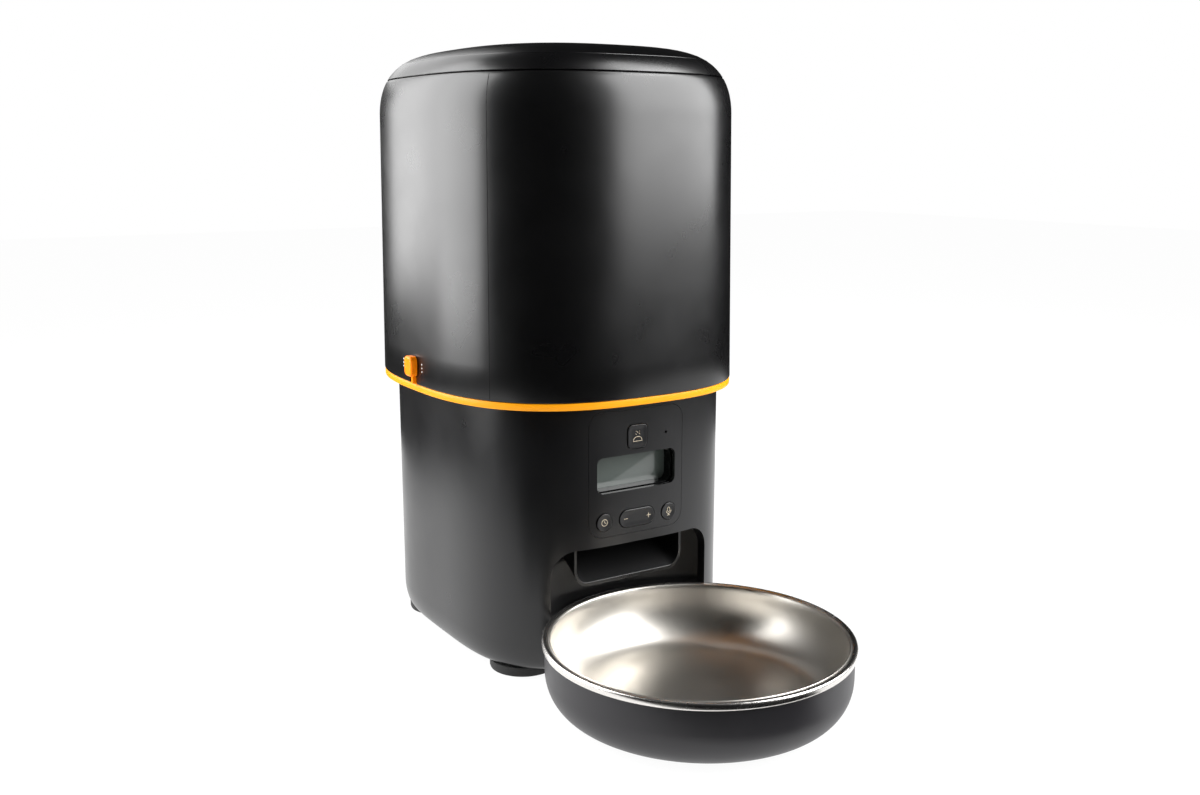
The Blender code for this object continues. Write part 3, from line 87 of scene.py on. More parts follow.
def hex_colour(text):
    """An sRGB hex colour as linear RGBA."""
    channels = [int(text[i:i + 2], 16) / 255 for i in (1, 3, 5)]
    linear = [c / 12.92 if c <= 0.04045 else ((c + 0.055) / 1.055) ** 2.4 for c in channels]
    return (*linear, 1.0)


# ---- sizes and colours to change
def length(name, description, default):
    return bpy.props.FloatProperty(name=name, description=description, default=default,
                                   subtype="DISTANCE", unit="LENGTH", precision=5)


def tint(name, description, text):
    return bpy.props.FloatVectorProperty(name=name, description=description, size=4, min=0, max=1,
                                         default=hex_colour(text), subtype="COLOR")


class FeederSizes(bpy.types.PropertyGroup):
    """Sizes that the model's boxes don't give."""

    hopper_power: bpy.props.FloatProperty(
        name="Hopper squareness", description="Power of the hopper's rounded-square outline",
        default=2.7)
    base_power: bpy.props.FloatProperty(
        name="Base squareness", description="Power of the base's rounded-square outline",
        default=3.53)
    hopper_draft: length("Hopper draft", "How far a hopper wall leans in by the shoulder", 0.0019)
    hopper_wall: length("Hopper wall", "Thickness of the hopper wall", 0.0024)
    dome_height: length("Dome height", "Shoulder to the crown of the lid", 0.0391)
    lid_wall: length("Lid wall", "Thickness of the lid", 0.0022)
    skirt_inset: length("Lid skirt inset", "Lid skirt inside the hopper's outer face", 0.0048)
    skirt_wall: length("Lid skirt wall", "Thickness of the lid's skirt", 0.0018)
    base_wall: length("Base wall", "Thickness of the base wall", 0.0025)
    base_round_height: length("Bottom rounding height", "Rounding along the bottom edge", 0.015)
    base_round_inset: length("Bottom rounding depth", "Inset of the bottom rounding", 0.0048)
    bay_width: length("Bay width", "Width of the bowl bay", 0.107)
    bay_top: length("Bay top", "Height of the bowl bay's roof", 0.076)
    bay_corner: length("Bay corner", "Radius of the bay's upper corners", 0.014)
    bay_gap: length("Bay gap", "Bay's round back to the rim of the bowl", 0.006)
    panel_corner: length("Panel corner", "Radius of the control panel's corners", 0.0085)
    display_corner: length("Display corner", "Radius of the display opening's corners", 0.004)
    edge: length("Moulded edge", "Radius on a moulded edge", 0.0005)
    key_gap: length("Key gap", "Gap around each key", 0.0004)


class FeederColours(bpy.types.PropertyGroup):
    """Main colours of the feeder's plastics and steel."""

    hopper: tint("Hopper", "Satin black of the hopper and lid", "#060607")
    base: tint("Base", "Charcoal of the base", "#09090b")
    holder: tint("Bowl holder", "Dark grey of the bowl holder", "#151318")
    ring: tint("Trim ring", "Amber of the trim ring", "#e29100")
    latch: tint("Latch", "Orange of the sliding locks", "#fb8200")
    steel: tint("Steel", "Stainless steel of the bowl", "#d2cec7")
    print: tint("Print", "Ink of the key symbols", "#c9bda6")


def sizes():
    return bpy.context.scene.feeder_sizes


def colours():
    return bpy.context.scene.feeder_colours


# ---- materials
def add_node(material, kind, inputs=(), **settings):
    """A shader node with its values and links, given as (node, output), and its settings."""
    tree = material.node_tree
    node = tree.nodes.new("ShaderNode" + kind)
    for key, value in settings.items():
        setattr(node, key, value)
    for key, value in dict(inputs).items():
        if isinstance(value, tuple) and isinstance(value[0], bpy.types.Node):
            tree.links.new(value[0].outputs[value[1]], node.inputs[key])
        else:
            node.inputs[key].default_value = value
    return node


def shade_of(colour, factor):
    return (*(min(1.0, channel * factor) for channel in colour[:3]), 1.0)


def blank_material(name):
    material = bpy.data.materials.new(name)
    material.use_nodes = True
    material.node_tree.nodes.clear()
    return material


def finish_shader(material, patches, height, colour, shades, roughness, polish, relief_mm,
                  strength, metallic):
    """Colour and gloss drift with the patches, and the relief follows the height."""
    blend = add_node(material, "Mix", {
        0: (patches, "Fac"), 6: shade_of(colour, shades[0]), 7: shade_of(colour, shades[1])},
        data_type="RGBA")
    gloss = add_node(material, "MapRange", {
        "Value": (patches, "Fac"), "From Min": 0.3, "From Max": 0.7,
        "To Min": roughness - polish / 2, "To Max": roughness + polish / 2})
    relief = add_node(material, "Bump", {
        "Height": (height, "Fac"), "Distance": relief_mm * MM, "Strength": strength})
    shader = add_node(material, "BsdfPrincipled", {
        "Base Color": (blend, 2), "Roughness": (gloss, "Result"), "Metallic": metallic,
        "Normal": (relief, "Normal")})
    add_node(material, "OutputMaterial", {"Surface": (shader, "BSDF")})
    return shader


FINISHES = {}


def surface(name, colour, roughness, grain_mm, relief_mm, drift=0.25, drift_mm=40, metallic=0.0,
            ior=1.5, polish=0.06, **constants):
    """A finish with fine grain in its relief and a slow drift in its colour and gloss.

    grain_mm is the width of one grain and relief_mm its height; drift is how much darker the
    darkest patches are, and drift_mm is the width of a patch.
    """
    material = blank_material(name)
    place = add_node(material, "TexCoord")
    patches = add_node(material, "TexNoise", {
        "Vector": (place, "Object"), "Scale": 1 / (drift_mm * MM), "Detail": 3.0,
        "Roughness": 0.6})
    grain = add_node(material, "TexNoise", {
        "Vector": (place, "Object"), "Scale": 1 / (grain_mm * MM), "Detail": 2.0,
        "Roughness": 0.5})
    if isinstance(colour, str):
        colour = hex_colour(colour)
    shader = finish_shader(material, patches, grain, colour, (1 - drift, 1 + drift), roughness,
                           polish, relief_mm, 1.0, metallic)
    if metallic == 0.0:
        shader.inputs["IOR"].default_value = ior
    for key, value in constants.items():
        shader.inputs[key.replace("_", " ")].default_value = value
    FINISHES[name] = material


def spun_steel(name, colour, roughness, ring_mm, relief_mm):
    """Stainless steel turned on a lathe: fine rings about the bowl's axis, 2 ring_mm apart."""
    material = blank_material(name)
    place = add_node(material, "TexCoord")
    centred = add_node(material, "Mapping", {
        "Vector": (place, "Object"), "Location": (0.0, -BOWL_Y, 0.0)})
    rings = add_node(material, "TexWave", {
        "Vector": (centred, "Vector"), "Scale": 1 / (ring_mm * MM) / 6.28,
        "Distortion": 0.5, "Detail": 1.0, "Detail Scale": 1.0},
        wave_type="RINGS", rings_direction="Z")
    smudge = add_node(material, "TexNoise", {
        "Vector": (place, "Object"), "Scale": 1 / (45 * MM), "Detail": 2.0})
    finish_shader(material, smudge, rings, colour, (0.95, 1.03), roughness, 0.03, relief_mm,
                  0.6, 1.0)
    FINISHES[name] = material


def make_finishes():
    """One material for each real finish. Grains finer than 0.5 mm are drawn coarser, to show."""
    pick = colours()
    # moulded ABS with a fine spark-eroded texture: soft broad highlights with a faint grain
    surface("satin_abs", pick.hopper, 0.29, 0.6, 0.002, ior=1.53)
    # the same plastic in charcoal, a little rougher and greyer
    surface("charcoal_abs", pick.base, 0.30, 0.6, 0.003, ior=1.53)
    # polished black walls round the display mirror its grey
    surface("glossy_abs", "#070708", 0.10, 0.8, 0.001, ior=1.53, polish=0.03)
    # the chute's inside is rough and has little gloss, and its colour is darker than the charcoal
    # as painted shade where the chute is unlit, so it stays dull
    surface("chute_abs", "#050506", 0.62, 0.8, 0.012, ior=1.5, Specular_IOR_Level=0.2)
    # dark grey ABS of the bowl holder, satin
    surface("holder_abs", pick.holder, 0.45, 0.6, 0.003, ior=1.53)
    # polished tool, so smoother and darker: keys
    surface("key_abs", "#0d0d0f", 0.32, 0.5, 0.004, ior=1.53)
    # black ABS of the inner mouldings, plain machine finish
    surface("inner_abs", "#0c0c0d", 0.45, 0.8, 0.010, ior=1.53)
    # semi-gloss dyed ABS
    surface("amber_abs", pick.ring, 0.38, 0.7, 0.003, 0.04, 15, ior=1.53, Specular_IOR_Level=0.2)
    surface("orange_abs", pick.latch, 0.30, 0.7, 0.003, 0.05, 6, ior=1.53,
            Specular_IOR_Level=0.15)
    # stainless steel, satin inside from spinning
    spun_steel("spun_steel", pick.steel, 0.34, 0.8, 0.0012)
    # the rim is polished after it is rolled
    surface("polished_steel", "#dddad6", 0.26, 1.5, 0.001, 0.04, 20, metallic=1.0, polish=0.05)
    # drawn stainless wire: bright, with few marks
    surface("steel_wire", "#bdb9b3", 0.25, 0.8, 0.004, 0.08, 10, metallic=1.0)
    # zinc-plated steel: cloudy, bluish
    surface("zinc_plate", "#aab0b6", 0.34, 0.5, 0.006, 0.18, 3, metallic=1.0, polish=0.15)
    # clear acrylic over a reflective display without a picture
    surface("display_glass", "#4a514d", 0.25, 6.0, 0.0005, 0.10, 30, ior=1.49, Coat_Weight=1.0,
            Coat_Roughness=0.03, Coat_IOR=1.49)
    surface("display_film", "#6d746e", 0.3, 3.0, 0.001, 0.05, 20)
    # moulded rubber: dull, with a dusty bloom
    surface("foot_rubber", "#1b1b1b", 0.78, 0.9, 0.03, 0.3, 8)
    # translucent silicone
    surface("silicone", "#cfcec7", 0.5, 1.2, 0.008, 0.06, 12, ior=1.41, Subsurface_Weight=0.2,
            Subsurface_Scale=0.002)
    # glossy solder mask, mottled by the copper under it
    surface("board_mask", "#12553a", 0.3, 0.5, 0.004, 0.3, 2.5)
    # shrunk plastic sleeve: smooth and glossy
    surface("cell_sleeve", "#2c3e6e", 0.3, 1.0, 0.002, 0.15, 9)
    # natural acetal: milky and slippery
    surface("acetal", "#e2dfd6", 0.32, 1.0, 0.004, 0.05, 12, ior=1.48, Subsurface_Weight=0.15,
            Subsurface_Scale=0.002)
    # non-woven paper of the drying bag: fibres 0.5 mm wide
    surface("bag_paper", "#e6e3da", 0.85, 0.5, 0.05, 0.12, 2)
    # pad-printed ink: matt and thin
    surface("symbol_ink", pick.print, 0.5, 0.5, 0.004, 0.08, 3)
    surface("mark_ink", "#d8d8d6", 0.5, 0.5, 0.004, 0.08, 3)


CAD_FINISHES = {
    "inner_abs": ("hopper_funnel", "hopper_floor", "desiccant_cup", "base_deck", "bottom_cover",
                  "gearbox_case", "battery_tray", "battery_door", "power_jack"),
    "glossy_abs": ("lcd_bezel",),
    "silicone": ("lid_seal", "portion_baffle"),
    "acetal": ("rotor", "output_gear", "drive_bushing"),
    "steel_wire": ("stirrer",),
    "zinc_plate": ("drive_shaft", "motor_pinion", "motor_shaft", "drive_motor", "contact_left",
                   "contact_right", "microphone", "speaker", "switch_feed", "switch_set",
                   "switch_minus", "switch_plus", "switch_record", "screw_front_left",
                   "screw_front_right", "screw_rear_left", "screw_rear_right"),
    "display_glass": ("lcd_window",),
    "display_film": ("lcd_module",),
    "board_mask": ("control_board",),
    "cell_sleeve": ("battery_cell_1", "battery_cell_2", "battery_cell_3"),
}


# ---- modelling helpers
def deselect():
    bpy.ops.object.select_all(action="DESELECT")


def only(piece):
    """Leaves one object selected and active."""
    deselect()
    piece.select_set(True)
    bpy.context.view_layer.objects.active = piece


def edit(piece):
    only(piece)
    bpy.ops.object.mode_set(mode="EDIT")
    return bmesh.from_edit_mesh(piece.data)


def leave_edit():
    bpy.ops.object.mode_set(mode="OBJECT")


def smooth(piece, angle=32):
    only(piece)
    bpy.ops.object.shade_smooth_by_angle(angle=math.radians(angle))


def even_normals(piece, angle=32):
    """Smooth shading whose large flat faces stay flat beside their small rounded edges."""
    smooth(piece, angle)
    apply_modifier(piece, "WEIGHTED_NORMAL", mode="FACE_AREA", weight=50, keep_sharp=True)


def apply_modifier(piece, kind, **settings):
    only(piece)
    modifier = piece.modifiers.new(kind.lower(), kind)
    for key, value in settings.items():
        setattr(modifier, key, value)
    bpy.ops.object.modifier_apply(modifier=modifier.name)


def combine(piece, other, operation="DIFFERENCE"):
    apply_modifier(piece, "BOOLEAN", operation=operation, solver="EXACT", object=other)
    bpy.data.objects.remove(other, do_unlink=True)


def ring_point(turn, ring):
    """A point on a rounded-square outline (half width, half depth, power, middle y, height)."""
    half_width, half_depth, power, middle_y, height = ring
    cosine, sine = math.cos(turn), math.sin(turn)
    return Vector((half_width * math.copysign(abs(cosine) ** (2 / power), cosine),
                   middle_y + half_depth * math.copysign(abs(sine) ** (2 / power), sine), height))


def ring_turn(point, ring):
    half_width, half_depth, power, middle_y, _ = ring
    across = point.x / half_width
    along = (point.y - middle_y) / half_depth
    return math.atan2(math.copysign(abs(along) ** (power / 2), along),
                      math.copysign(abs(across) ** (power / 2), across))


def newest(name):
    """The piece that was just added, with its name."""
    piece = bpy.context.object
    piece.name = name
    piece.data.name = name
    return piece


def face_outwards():
    """Turns the whole edited mesh right side out, and leaves edit mode."""
    bpy.ops.mesh.select_all(action="SELECT")
    bpy.ops.mesh.normals_make_consistent(inside=False)
    leave_edit()


def ring_loft(name, rings, closed=False, steps=240, angle=32):
    """A circle's edges are extruded from one outline to the next, then bridged or capped."""
    deselect()
    bpy.ops.mesh.primitive_circle_add(vertices=steps, radius=1.0)
    piece = newest(name)
    for vert in piece.data.vertices:
        vert.co = ring_point(math.atan2(vert.co.y, vert.co.x), rings[0])
    edit(piece)
    bpy.ops.mesh.select_all(action="SELECT")
    for before, after in zip(rings, rings[1:]):
        rise = (0.0, 0.0, after[4] - before[4])
        bpy.ops.mesh.extrude_region_move(TRANSFORM_OT_translate={"value": rise})
        mesh = bmesh.from_edit_mesh(piece.data)
        for vert in mesh.verts:
            if vert.select:
                vert.co = ring_point(ring_turn(vert.co, before), after)
        bmesh.update_edit_mesh(piece.data)
    bpy.ops.mesh.select_all(action="DESELECT")
    bpy.ops.mesh.select_non_manifold()
    if closed:
        bpy.ops.mesh.bridge_edge_loops()
    else:
        bpy.ops.mesh.fill_holes(sides=0)
    face_outwards()
    smooth(piece, angle)
    return piece


def box_between(name, low, high, corner=0.0, along="Y", segments=8):
    """A cube between two corners, with the four edges along one axis rounded."""
    deselect()
    middle = [(low[i] + high[i]) / 2 for i in range(3)]
    size = [high[i] - low[i] for i in range(3)]
    bpy.ops.mesh.primitive_cube_add(size=1, location=middle, scale=size)
    piece = newest(name)
    bpy.ops.object.transform_apply()
    if corner > 0:
        axis = "XYZ".index(along)
        bevel_where(piece, corner, segments,
                    lambda edge: abs((edge.verts[0].co - edge.verts[1].co)[axis]) > size[axis] / 2)
    return piece


def bevel_where(piece, width, segments, test):
    """Bevels the edges that a test picks."""
    mesh = edit(piece)
    bpy.ops.mesh.select_mode(type="EDGE")
    bpy.ops.mesh.select_all(action="DESELECT")
    for edge in mesh.edges:
        edge.select = test(edge)
    bmesh.update_edit_mesh(piece.data)
    bpy.ops.mesh.bevel(offset=width, segments=segments, affect="EDGES")
    bpy.ops.mesh.select_mode(type="VERT")
    leave_edit()


def round_face_edges(piece, axis, side, width, segments=4):
    """Rounds the outline of the flat face that lies furthest along an axis."""
    reach = max(side * vert.co[axis] for vert in piece.data.vertices)

    def on_rim(edge):
        flat = all(side * vert.co[axis] > reach - 1e-6 for vert in edge.verts)
        return flat and not all(abs(face.normal[axis]) > 0.9 for face in edge.link_faces)

    bevel_where(piece, width, segments, on_rim)


def soften_edges(piece, width, segments=2, angle=40):
    apply_modifier(piece, "BEVEL", width=width, segments=segments, limit_method="ANGLE",
                   angle_limit=math.radians(angle), harden_normals=False)


def rod_along(name, radius, start, end, axis="Y", steps=48):
    """A cylinder from one point to another along an axis."""
    deselect()
    index = "XYZ".index(axis)
    turn = {"X": (0, math.pi / 2, 0), "Y": (math.pi / 2, 0, 0), "Z": (0, 0, 0)}[axis]
    middle = [(start[i] + end[i]) / 2 for i in range(3)]
    bpy.ops.mesh.primitive_cylinder_add(vertices=steps, radius=radius,
                                        depth=abs(end[index] - start[index]), location=middle,
                                        rotation=turn)
    piece = newest(name)
    bpy.ops.object.transform_apply()
    return piece


def settle(piece, finish, body, slot, *nodes):
    """Gives a finished piece its finish and its body, and hides the model's nodes it stands for.
    Its slot is not used.
    """
    piece.data.materials.clear()
    piece.data.materials.append(FINISHES[finish])
    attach(piece, body)
    if nodes:
        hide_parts(*nodes)
    return piece


def mirrored(piece, name):
    """A copy on the other side of the feeder's middle plane."""
    twin = piece.copy()
    twin.data = piece.data.copy()
    twin.name = name
    twin.data.name = name
    bpy.context.scene.collection.objects.link(twin)
    only(twin)
    twin.scale.x = -1
    bpy.ops.object.transform_apply(location=False, rotation=False, scale=True)
    edit(twin)
    face_outwards()
    return twin


def linked(name, data):
    """A new object for a curve, a lamp or a camera."""
    item = bpy.data.objects.new(name, data)
    bpy.context.scene.collection.objects.link(item)
    return item


def beads(name, runs, radius, finish, body, slot):
    """Round strokes made a mesh: each run is the list of one stroke's points."""
    curve = bpy.data.curves.new(name, "CURVE")
    curve.dimensions = "3D"
    curve.bevel_depth = radius
    curve.bevel_resolution = 2
    curve.use_fill_caps = True
    for run in runs:
        spline = curve.splines.new("POLY")
        spline.points.add(len(run) - 1)
        for point, place in zip(spline.points, run):
            point.co = (*place, 1.0)
    only(linked(name, curve))
    bpy.ops.object.convert(target="MESH")
    line = bpy.context.object
    smooth(line, 60)
    return settle(line, finish, body, slot)


def pulled_in(ring, inset, height=None):
    """A ring moved in by an inset, at its own height or at another."""
    half_width, half_depth, power, middle_y, own_height = ring
    return (half_width - inset, half_depth - inset, power, middle_y,
            own_height if height is None else height)


def pulled_in_rings(ring, places):
    """Rings for a list of insets and heights."""
    return [pulled_in(ring, inset, height) for inset, height in places]


# ---- hopper, lid and ring
DOME_POWER = 2.29
DOME_FLATNESS = 6.0
# a lock's pocket and slot reach this far to either side of the lock's middle in y
SLOT_BEFORE, SLOT_BEHIND = 0.0029, 0.0069


def hopper_outline():
    return (HOPPER_HALF, HOPPER_HALF_DEPTH, sizes().hopper_power, BODY_Y, 0.0)


def hopper_ring(height, inset=0.0):
    """Outline of the hopper at a height up to the shoulder's rounding, moved in by an inset."""
    size = sizes()
    shoulder = CROWN_Z - size.dome_height
    lean = size.hopper_draft * min(1.0, (height - HOPPER_LOW.z) / (shoulder - HOPPER_LOW.z))
    share = max(0.0, height - shoulder) / size.dome_height
    scale = (1 - min(share, 1.0) ** DOME_POWER) ** (1 / DOME_FLATNESS)
    draw = lean + (HOPPER_HALF - size.hopper_draft) * (1 - scale) + inset
    return pulled_in(hopper_outline(), draw, height)


def dome_ring(scale):
    """Outline of the dome where it has drawn in to a share of the shoulder."""
    size = sizes()
    rise = size.dome_height * (1 - scale ** DOME_FLATNESS) ** (1 / DOME_POWER)
    draw = size.hopper_draft + (HOPPER_HALF - size.hopper_draft) * (1 - scale)
    return pulled_in(hopper_outline(), draw, CROWN_Z - size.dome_height + rise)


def lock_cutter(name, side, near, far, bottom, top):
    """A pocket for the lock on one side, between two distances from the middle plane."""
    low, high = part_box("latch_left")
    middle = (low.y + high.y) / 2
    first, second = sorted((side * near, side * far))
    return box_between(name, (first, middle - SLOT_BEFORE, bottom),
                       (second, middle + SLOT_BEHIND, top))


class FEEDER_OT_hopper(bpy.types.Operator):
    """Build the hopper shell with its lock slots and parting lines"""

    bl_idname = "feeder.hopper"
    bl_label = "Hopper shell"

    def execute(self, context):
        size = sizes()
        edge = size.edge
        shoulder = CROWN_Z - size.dome_height
        bottom, top = HOPPER_LOW.z, SEAM_Z
        outer = [hopper_ring(bottom, edge), hopper_ring(bottom + edge * 0.3, edge * 0.3),
                 hopper_ring(bottom + edge)]
        outer += [hopper_ring(bottom + (shoulder - bottom) * step / 8) for step in range(1, 9)]
        outer += [hopper_ring(shoulder + (top - edge - shoulder) * (step / 12) ** 0.8)
                  for step in range(1, 13)]
        outer += [hopper_ring(top - edge * 0.3, edge * 0.3), hopper_ring(top, edge)]
        heights = [top, top - 0.006, shoulder + 0.006, shoulder, bottom + 0.07, bottom]
        inner = [hopper_ring(height, size.hopper_wall) for height in heights]
        shell = ring_loft("hopper_outer_shell", outer + inner, closed=True)
        for side in (-1, 1):
            combine(shell, lock_cutter("lock_slot_cutter", side, HOPPER_HALF - 0.006,
                                       HOPPER_HALF + 0.006, bottom - 0.01, bottom + 0.0045))
        smooth(shell)
        settle(shell, "satin_abs", "hopper", "satin_black", "hopper_shell")
        bead = [hopper_ring(height) for height in
                (bottom + 0.0008, shoulder - 0.02, shoulder, shoulder + 0.006, shoulder + 0.011,
                 shoulder + 0.015, shoulder + 0.018, top - 0.0012)]
        side_turn = 0.62  # radians from a side's middle to the parting line
        for index, turn in enumerate((side_turn, math.pi - side_turn, side_turn - math.pi,
                                      -side_turn)):
            # a fine raised line where the parts of the mould met
            line = [ring_point(turn, pulled_in(ring, 0.19 * MM)) for ring in bead]
            beads(f"hopper_parting_line_{index + 1}", [line], 0.30 * MM, "chute_abs", "hopper",
                  "satin_black")
        return {"FINISHED"}


class FEEDER_OT_lid(bpy.types.Operator):
    """Build the domed lid with its skirt"""

    bl_idname = "feeder.lid"
    bl_label = "Lid"

    def execute(self, context):
        size = sizes()
        edge = size.edge
        seam = SEAM_Z + 0.0003
        share = (seam - CROWN_Z + size.dome_height) / size.dome_height
        widest = (1 - share ** DOME_POWER) ** (1 / DOME_FLATNESS)
        narrowest = 0.06
        count = 34
        dome = [dome_ring(widest - (widest - narrowest) * (1 - step / count) ** 1.6)
                for step in range(count)]
        lip = hopper_ring(seam + edge)
        dome = [ring for ring in dome if ring[4] > seam + edge * 1.4]
        dome += [lip, pulled_in(lip, edge * 0.3, seam + edge * 0.3), pulled_in(lip, edge, seam)]
        ceiling = CROWN_Z - size.lid_wall
        low = LID_LOW.z
        outside = size.skirt_inset
        inside = outside + size.skirt_wall
        under = pulled_in_rings(lip, (
            (outside, seam), (outside, low + 0.0005), (outside + 0.0005, low),
            (inside - 0.0004, low), (inside, low + 0.0004), (inside, ceiling - 0.0085),
            (inside + 0.0015, ceiling - 0.0055), (inside + 0.006, ceiling - 0.0030),
            (inside + 0.012, ceiling - 0.0012), (inside + 0.022, ceiling),
            (lip[0] * 0.9, ceiling)))
        lid = ring_loft("lid_dome", dome + under)
        settle(lid, "satin_abs", "lid_group", "satin_black", "lid")
        return {"FINISHED"}


class FEEDER_OT_trim_ring(bpy.types.Operator):
    """Build the amber ring between the hopper and the base"""

    bl_idname = "feeder.trim_ring"
    bl_label = "Trim ring"

    def execute(self, context):
        size = sizes()
        low, high = RING_LOW.z, RING_HIGH.z
        edge = 0.0007
        outline = (RING_HIGH.x, (RING_HIGH.y - RING_LOW.y) / 2, size.hopper_power, BODY_Y, 0.0)
        ledge = size.base_wall / 2
        rings = pulled_in_rings(outline, (
            (edge, low), (edge * 0.3, low + edge * 0.3), (0, low + edge),
            (0, high - edge * 0.6), (edge * 0.18, high - edge * 0.18), (edge * 0.6, high)))
        rings += pulled_in_rings(base_outline(), ((ledge, high), (ledge, low)))
        ring = ring_loft("trim_ring_fine", rings, closed=True)
        for side in (-1, 1):
            combine(ring, lock_cutter("lock_pocket", side, HOPPER_HALF - 0.0079,
                                      HOPPER_HALF - 0.0032, high - 0.0028, high + 0.01))
        smooth(ring)
        settle(ring, "amber_abs", "base", "amber", "trim_ring")
        return {"FINISHED"}


# ---- base casing
def base_outline():
    return (BASE_HALF, BASE_HALF_DEPTH, sizes().base_power, BODY_Y, 0.0)


def base_rings(inset, bottom, top, round_steps=8):
    """Rings of the base's rounded-square outline, with the rounding along its bottom edge."""
    size = sizes()
    turns = [math.pi / 2 * step / round_steps for step in range(round_steps + 1)]
    places = [(inset + size.base_round_inset * (1 - math.sin(turn)),
               bottom + size.base_round_height * (1 - math.cos(turn))) for turn in turns]
    return pulled_in_rings(base_outline(), places + [(inset, top)])


def hollow_rings():
    """The room inside the base's wall, open past its top and bottom."""
    size = sizes()
    low = pulled_in(base_outline(), size.base_wall + size.base_round_inset)
    return [low] + base_rings(size.base_wall, BASE_LOW.z, BASE_HIGH.z + 0.02)


def bay_cutter(name, grow):
    """The bowl bay: a pocket with a round back about the bowl and round upper corners."""
    size = sizes()
    half = size.bay_width / 2 + grow
    front = BASE_LOW.y
    bay = box_between(name, (-half, front - 0.03, -0.05),
                      (half, front + 0.06, size.bay_top + grow), size.bay_corner + grow, "Y", 12)
    radius = BOWL_RADIUS + size.bay_gap + grow
    back = rod_along(name + "_back", radius, (0, BOWL_Y, -0.1), (0, BOWL_Y, size.bay_top + 0.05),
                     "Z", 160)
    combine(bay, back, "INTERSECT")
    return bay


def panel_cutter(name, grow):
    return box_between(name, (PANEL_LOW.x - grow, BASE_LOW.y - 0.01, PANEL_LOW.z - grow),
                       (PANEL_HIGH.x + grow, BASE_LOW.y + 0.006, PANEL_HIGH.z + grow),
                       sizes().panel_corner + grow, "Y", 10)


CHUTE_SLOPE_Z = 0.100
CHUTE_ROOF_Z = 0.0805
CHUTE_LIP_Z = 0.0515
CHUTE_CORNER = 0.009
CHUTE_WALL = 0.0017
CHUTE_SHAFT_FRONT = CHUTE_HIGH.y - 0.039
TROUGH_DEPTH = 0.3


def chute_form(name, grow, past):
    """The outlet chute: a shaft and a sloping trough with round bottom corners."""
    half = CHUTE_HIGH.x + grow
    front, back = CHUTE_LOW.y, CHUTE_HIGH.y
    low = CHUTE_LIP_Z - 0.02
    mouth = box_between(name, (-half - 0.002, front - past, low),
                        (half + 0.002, back + grow, CHUTE_ROOF_Z + grow))
    shaft_front = CHUTE_SHAFT_FRONT - grow
    shaft = box_between(name + "_shaft", (-half - 0.002, shaft_front, low + 0.01),
                        (half + 0.002, back + grow, CHUTE_HIGH.z + past))
    run, rise = back - front, CHUTE_SLOPE_Z - CHUTE_LIP_Z
    angle = math.atan2(rise, run)
    trough = box_between(name + "_trough", (-half, -0.2, -TROUGH_DEPTH / 2),
                         (half, 0.2, TROUGH_DEPTH / 2), CHUTE_CORNER + grow, "Y", 10)
    only(trough)
    up = TROUGH_DEPTH / 2 - grow
    trough.rotation_euler = (angle, 0, 0)
    trough.location = (0, front + run / 2 - math.sin(angle) * up,
                       CHUTE_LIP_Z + rise / 2 + math.cos(angle) * up)
    bpy.ops.object.transform_apply()
    combine(mouth, shaft, "UNION")
    combine(mouth, trough, "INTERSECT")
    return mouth


class FEEDER_OT_base(bpy.types.Operator):
    """Build the base casing with the bowl bay and its openings"""

    bl_idname = "feeder.base"
    bl_label = "Base casing"

    def execute(self, context):
        size = sizes()
        gap, jack_radius = 0.0002, 0.0043
        shell = ring_loft("base_casing", base_rings(0.0, BASE_LOW.z, BASE_HIGH.z))
        hollow = ring_loft("base_hollow", hollow_rings())
        combine(hollow, bay_cutter("bay_wall", size.base_wall))
        combine(shell, bay_cutter("bay", 0.0))
        combine(shell, hollow)
        combine(shell, panel_cutter("panel_opening", gap))
        combine(shell, chute_form("chute_opening", gap, gap))
        jack_low, jack_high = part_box("power_jack")
        jack = [(jack_low[i] + jack_high[i]) / 2 for i in range(3)]
        combine(shell, rod_along("jack_hole", jack_radius, (jack[0], BASE_HIGH.y - 0.01, jack[2]),
                                 (jack[0], BASE_HIGH.y + 0.01, jack[2])))
        soften_edges(shell, 0.0005)
        even_normals(shell)
        settle(shell, "charcoal_abs", "base", "charcoal", "base_shell")

        chute = chute_form("outlet_chute", 0.0, 0.0)
        combine(chute, chute_form("outlet_hollow", -CHUTE_WALL, 0.01))
        soften_edges(chute, 0.0004)
        even_normals(chute)
        settle(chute, "charcoal_abs", "base", "charcoal", "food_chute")
        # faces behind the front edge take the darker, duller finish: painted shade inside the
        # unlit chute
        chute.data.materials.append(FINISHES["chute_abs"])
        for face in chute.data.polygons:
            if face.center.y > CHUTE_LOW.y + 0.0010:
                face.material_index = 1
        return {"FINISHED"}


class FEEDER_OT_feet(bpy.types.Operator):
    """Build the four rubber feet"""

    bl_idname = "feeder.feet"
    bl_label = "Feet"

    def execute(self, context):
        for name in FEET:
            low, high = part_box(name)
            middle_x, middle_y = (low.x + high.x) / 2, (low.y + high.y) / 2
            radius = (high.x - low.x) / 2

            def ring(share, height):
                return (radius * share, radius * share, 2.0, middle_y, height)

            rings = [ring(0.05, high.z), ring(1, high.z), ring(1, 0.0014), ring(0.98, 0.0004),
                     ring(0.94, 0.0), ring(0.75, 0.0), ring(0.72, 0.0006), ring(0.05, 0.0006)]
            foot = ring_loft(name + "_pad", rings, steps=72)
            for vert in foot.data.vertices:
                vert.co.x += middle_x
            settle(foot, "foot_rubber", "base", "rubber", name)
        return {"FINISHED"}


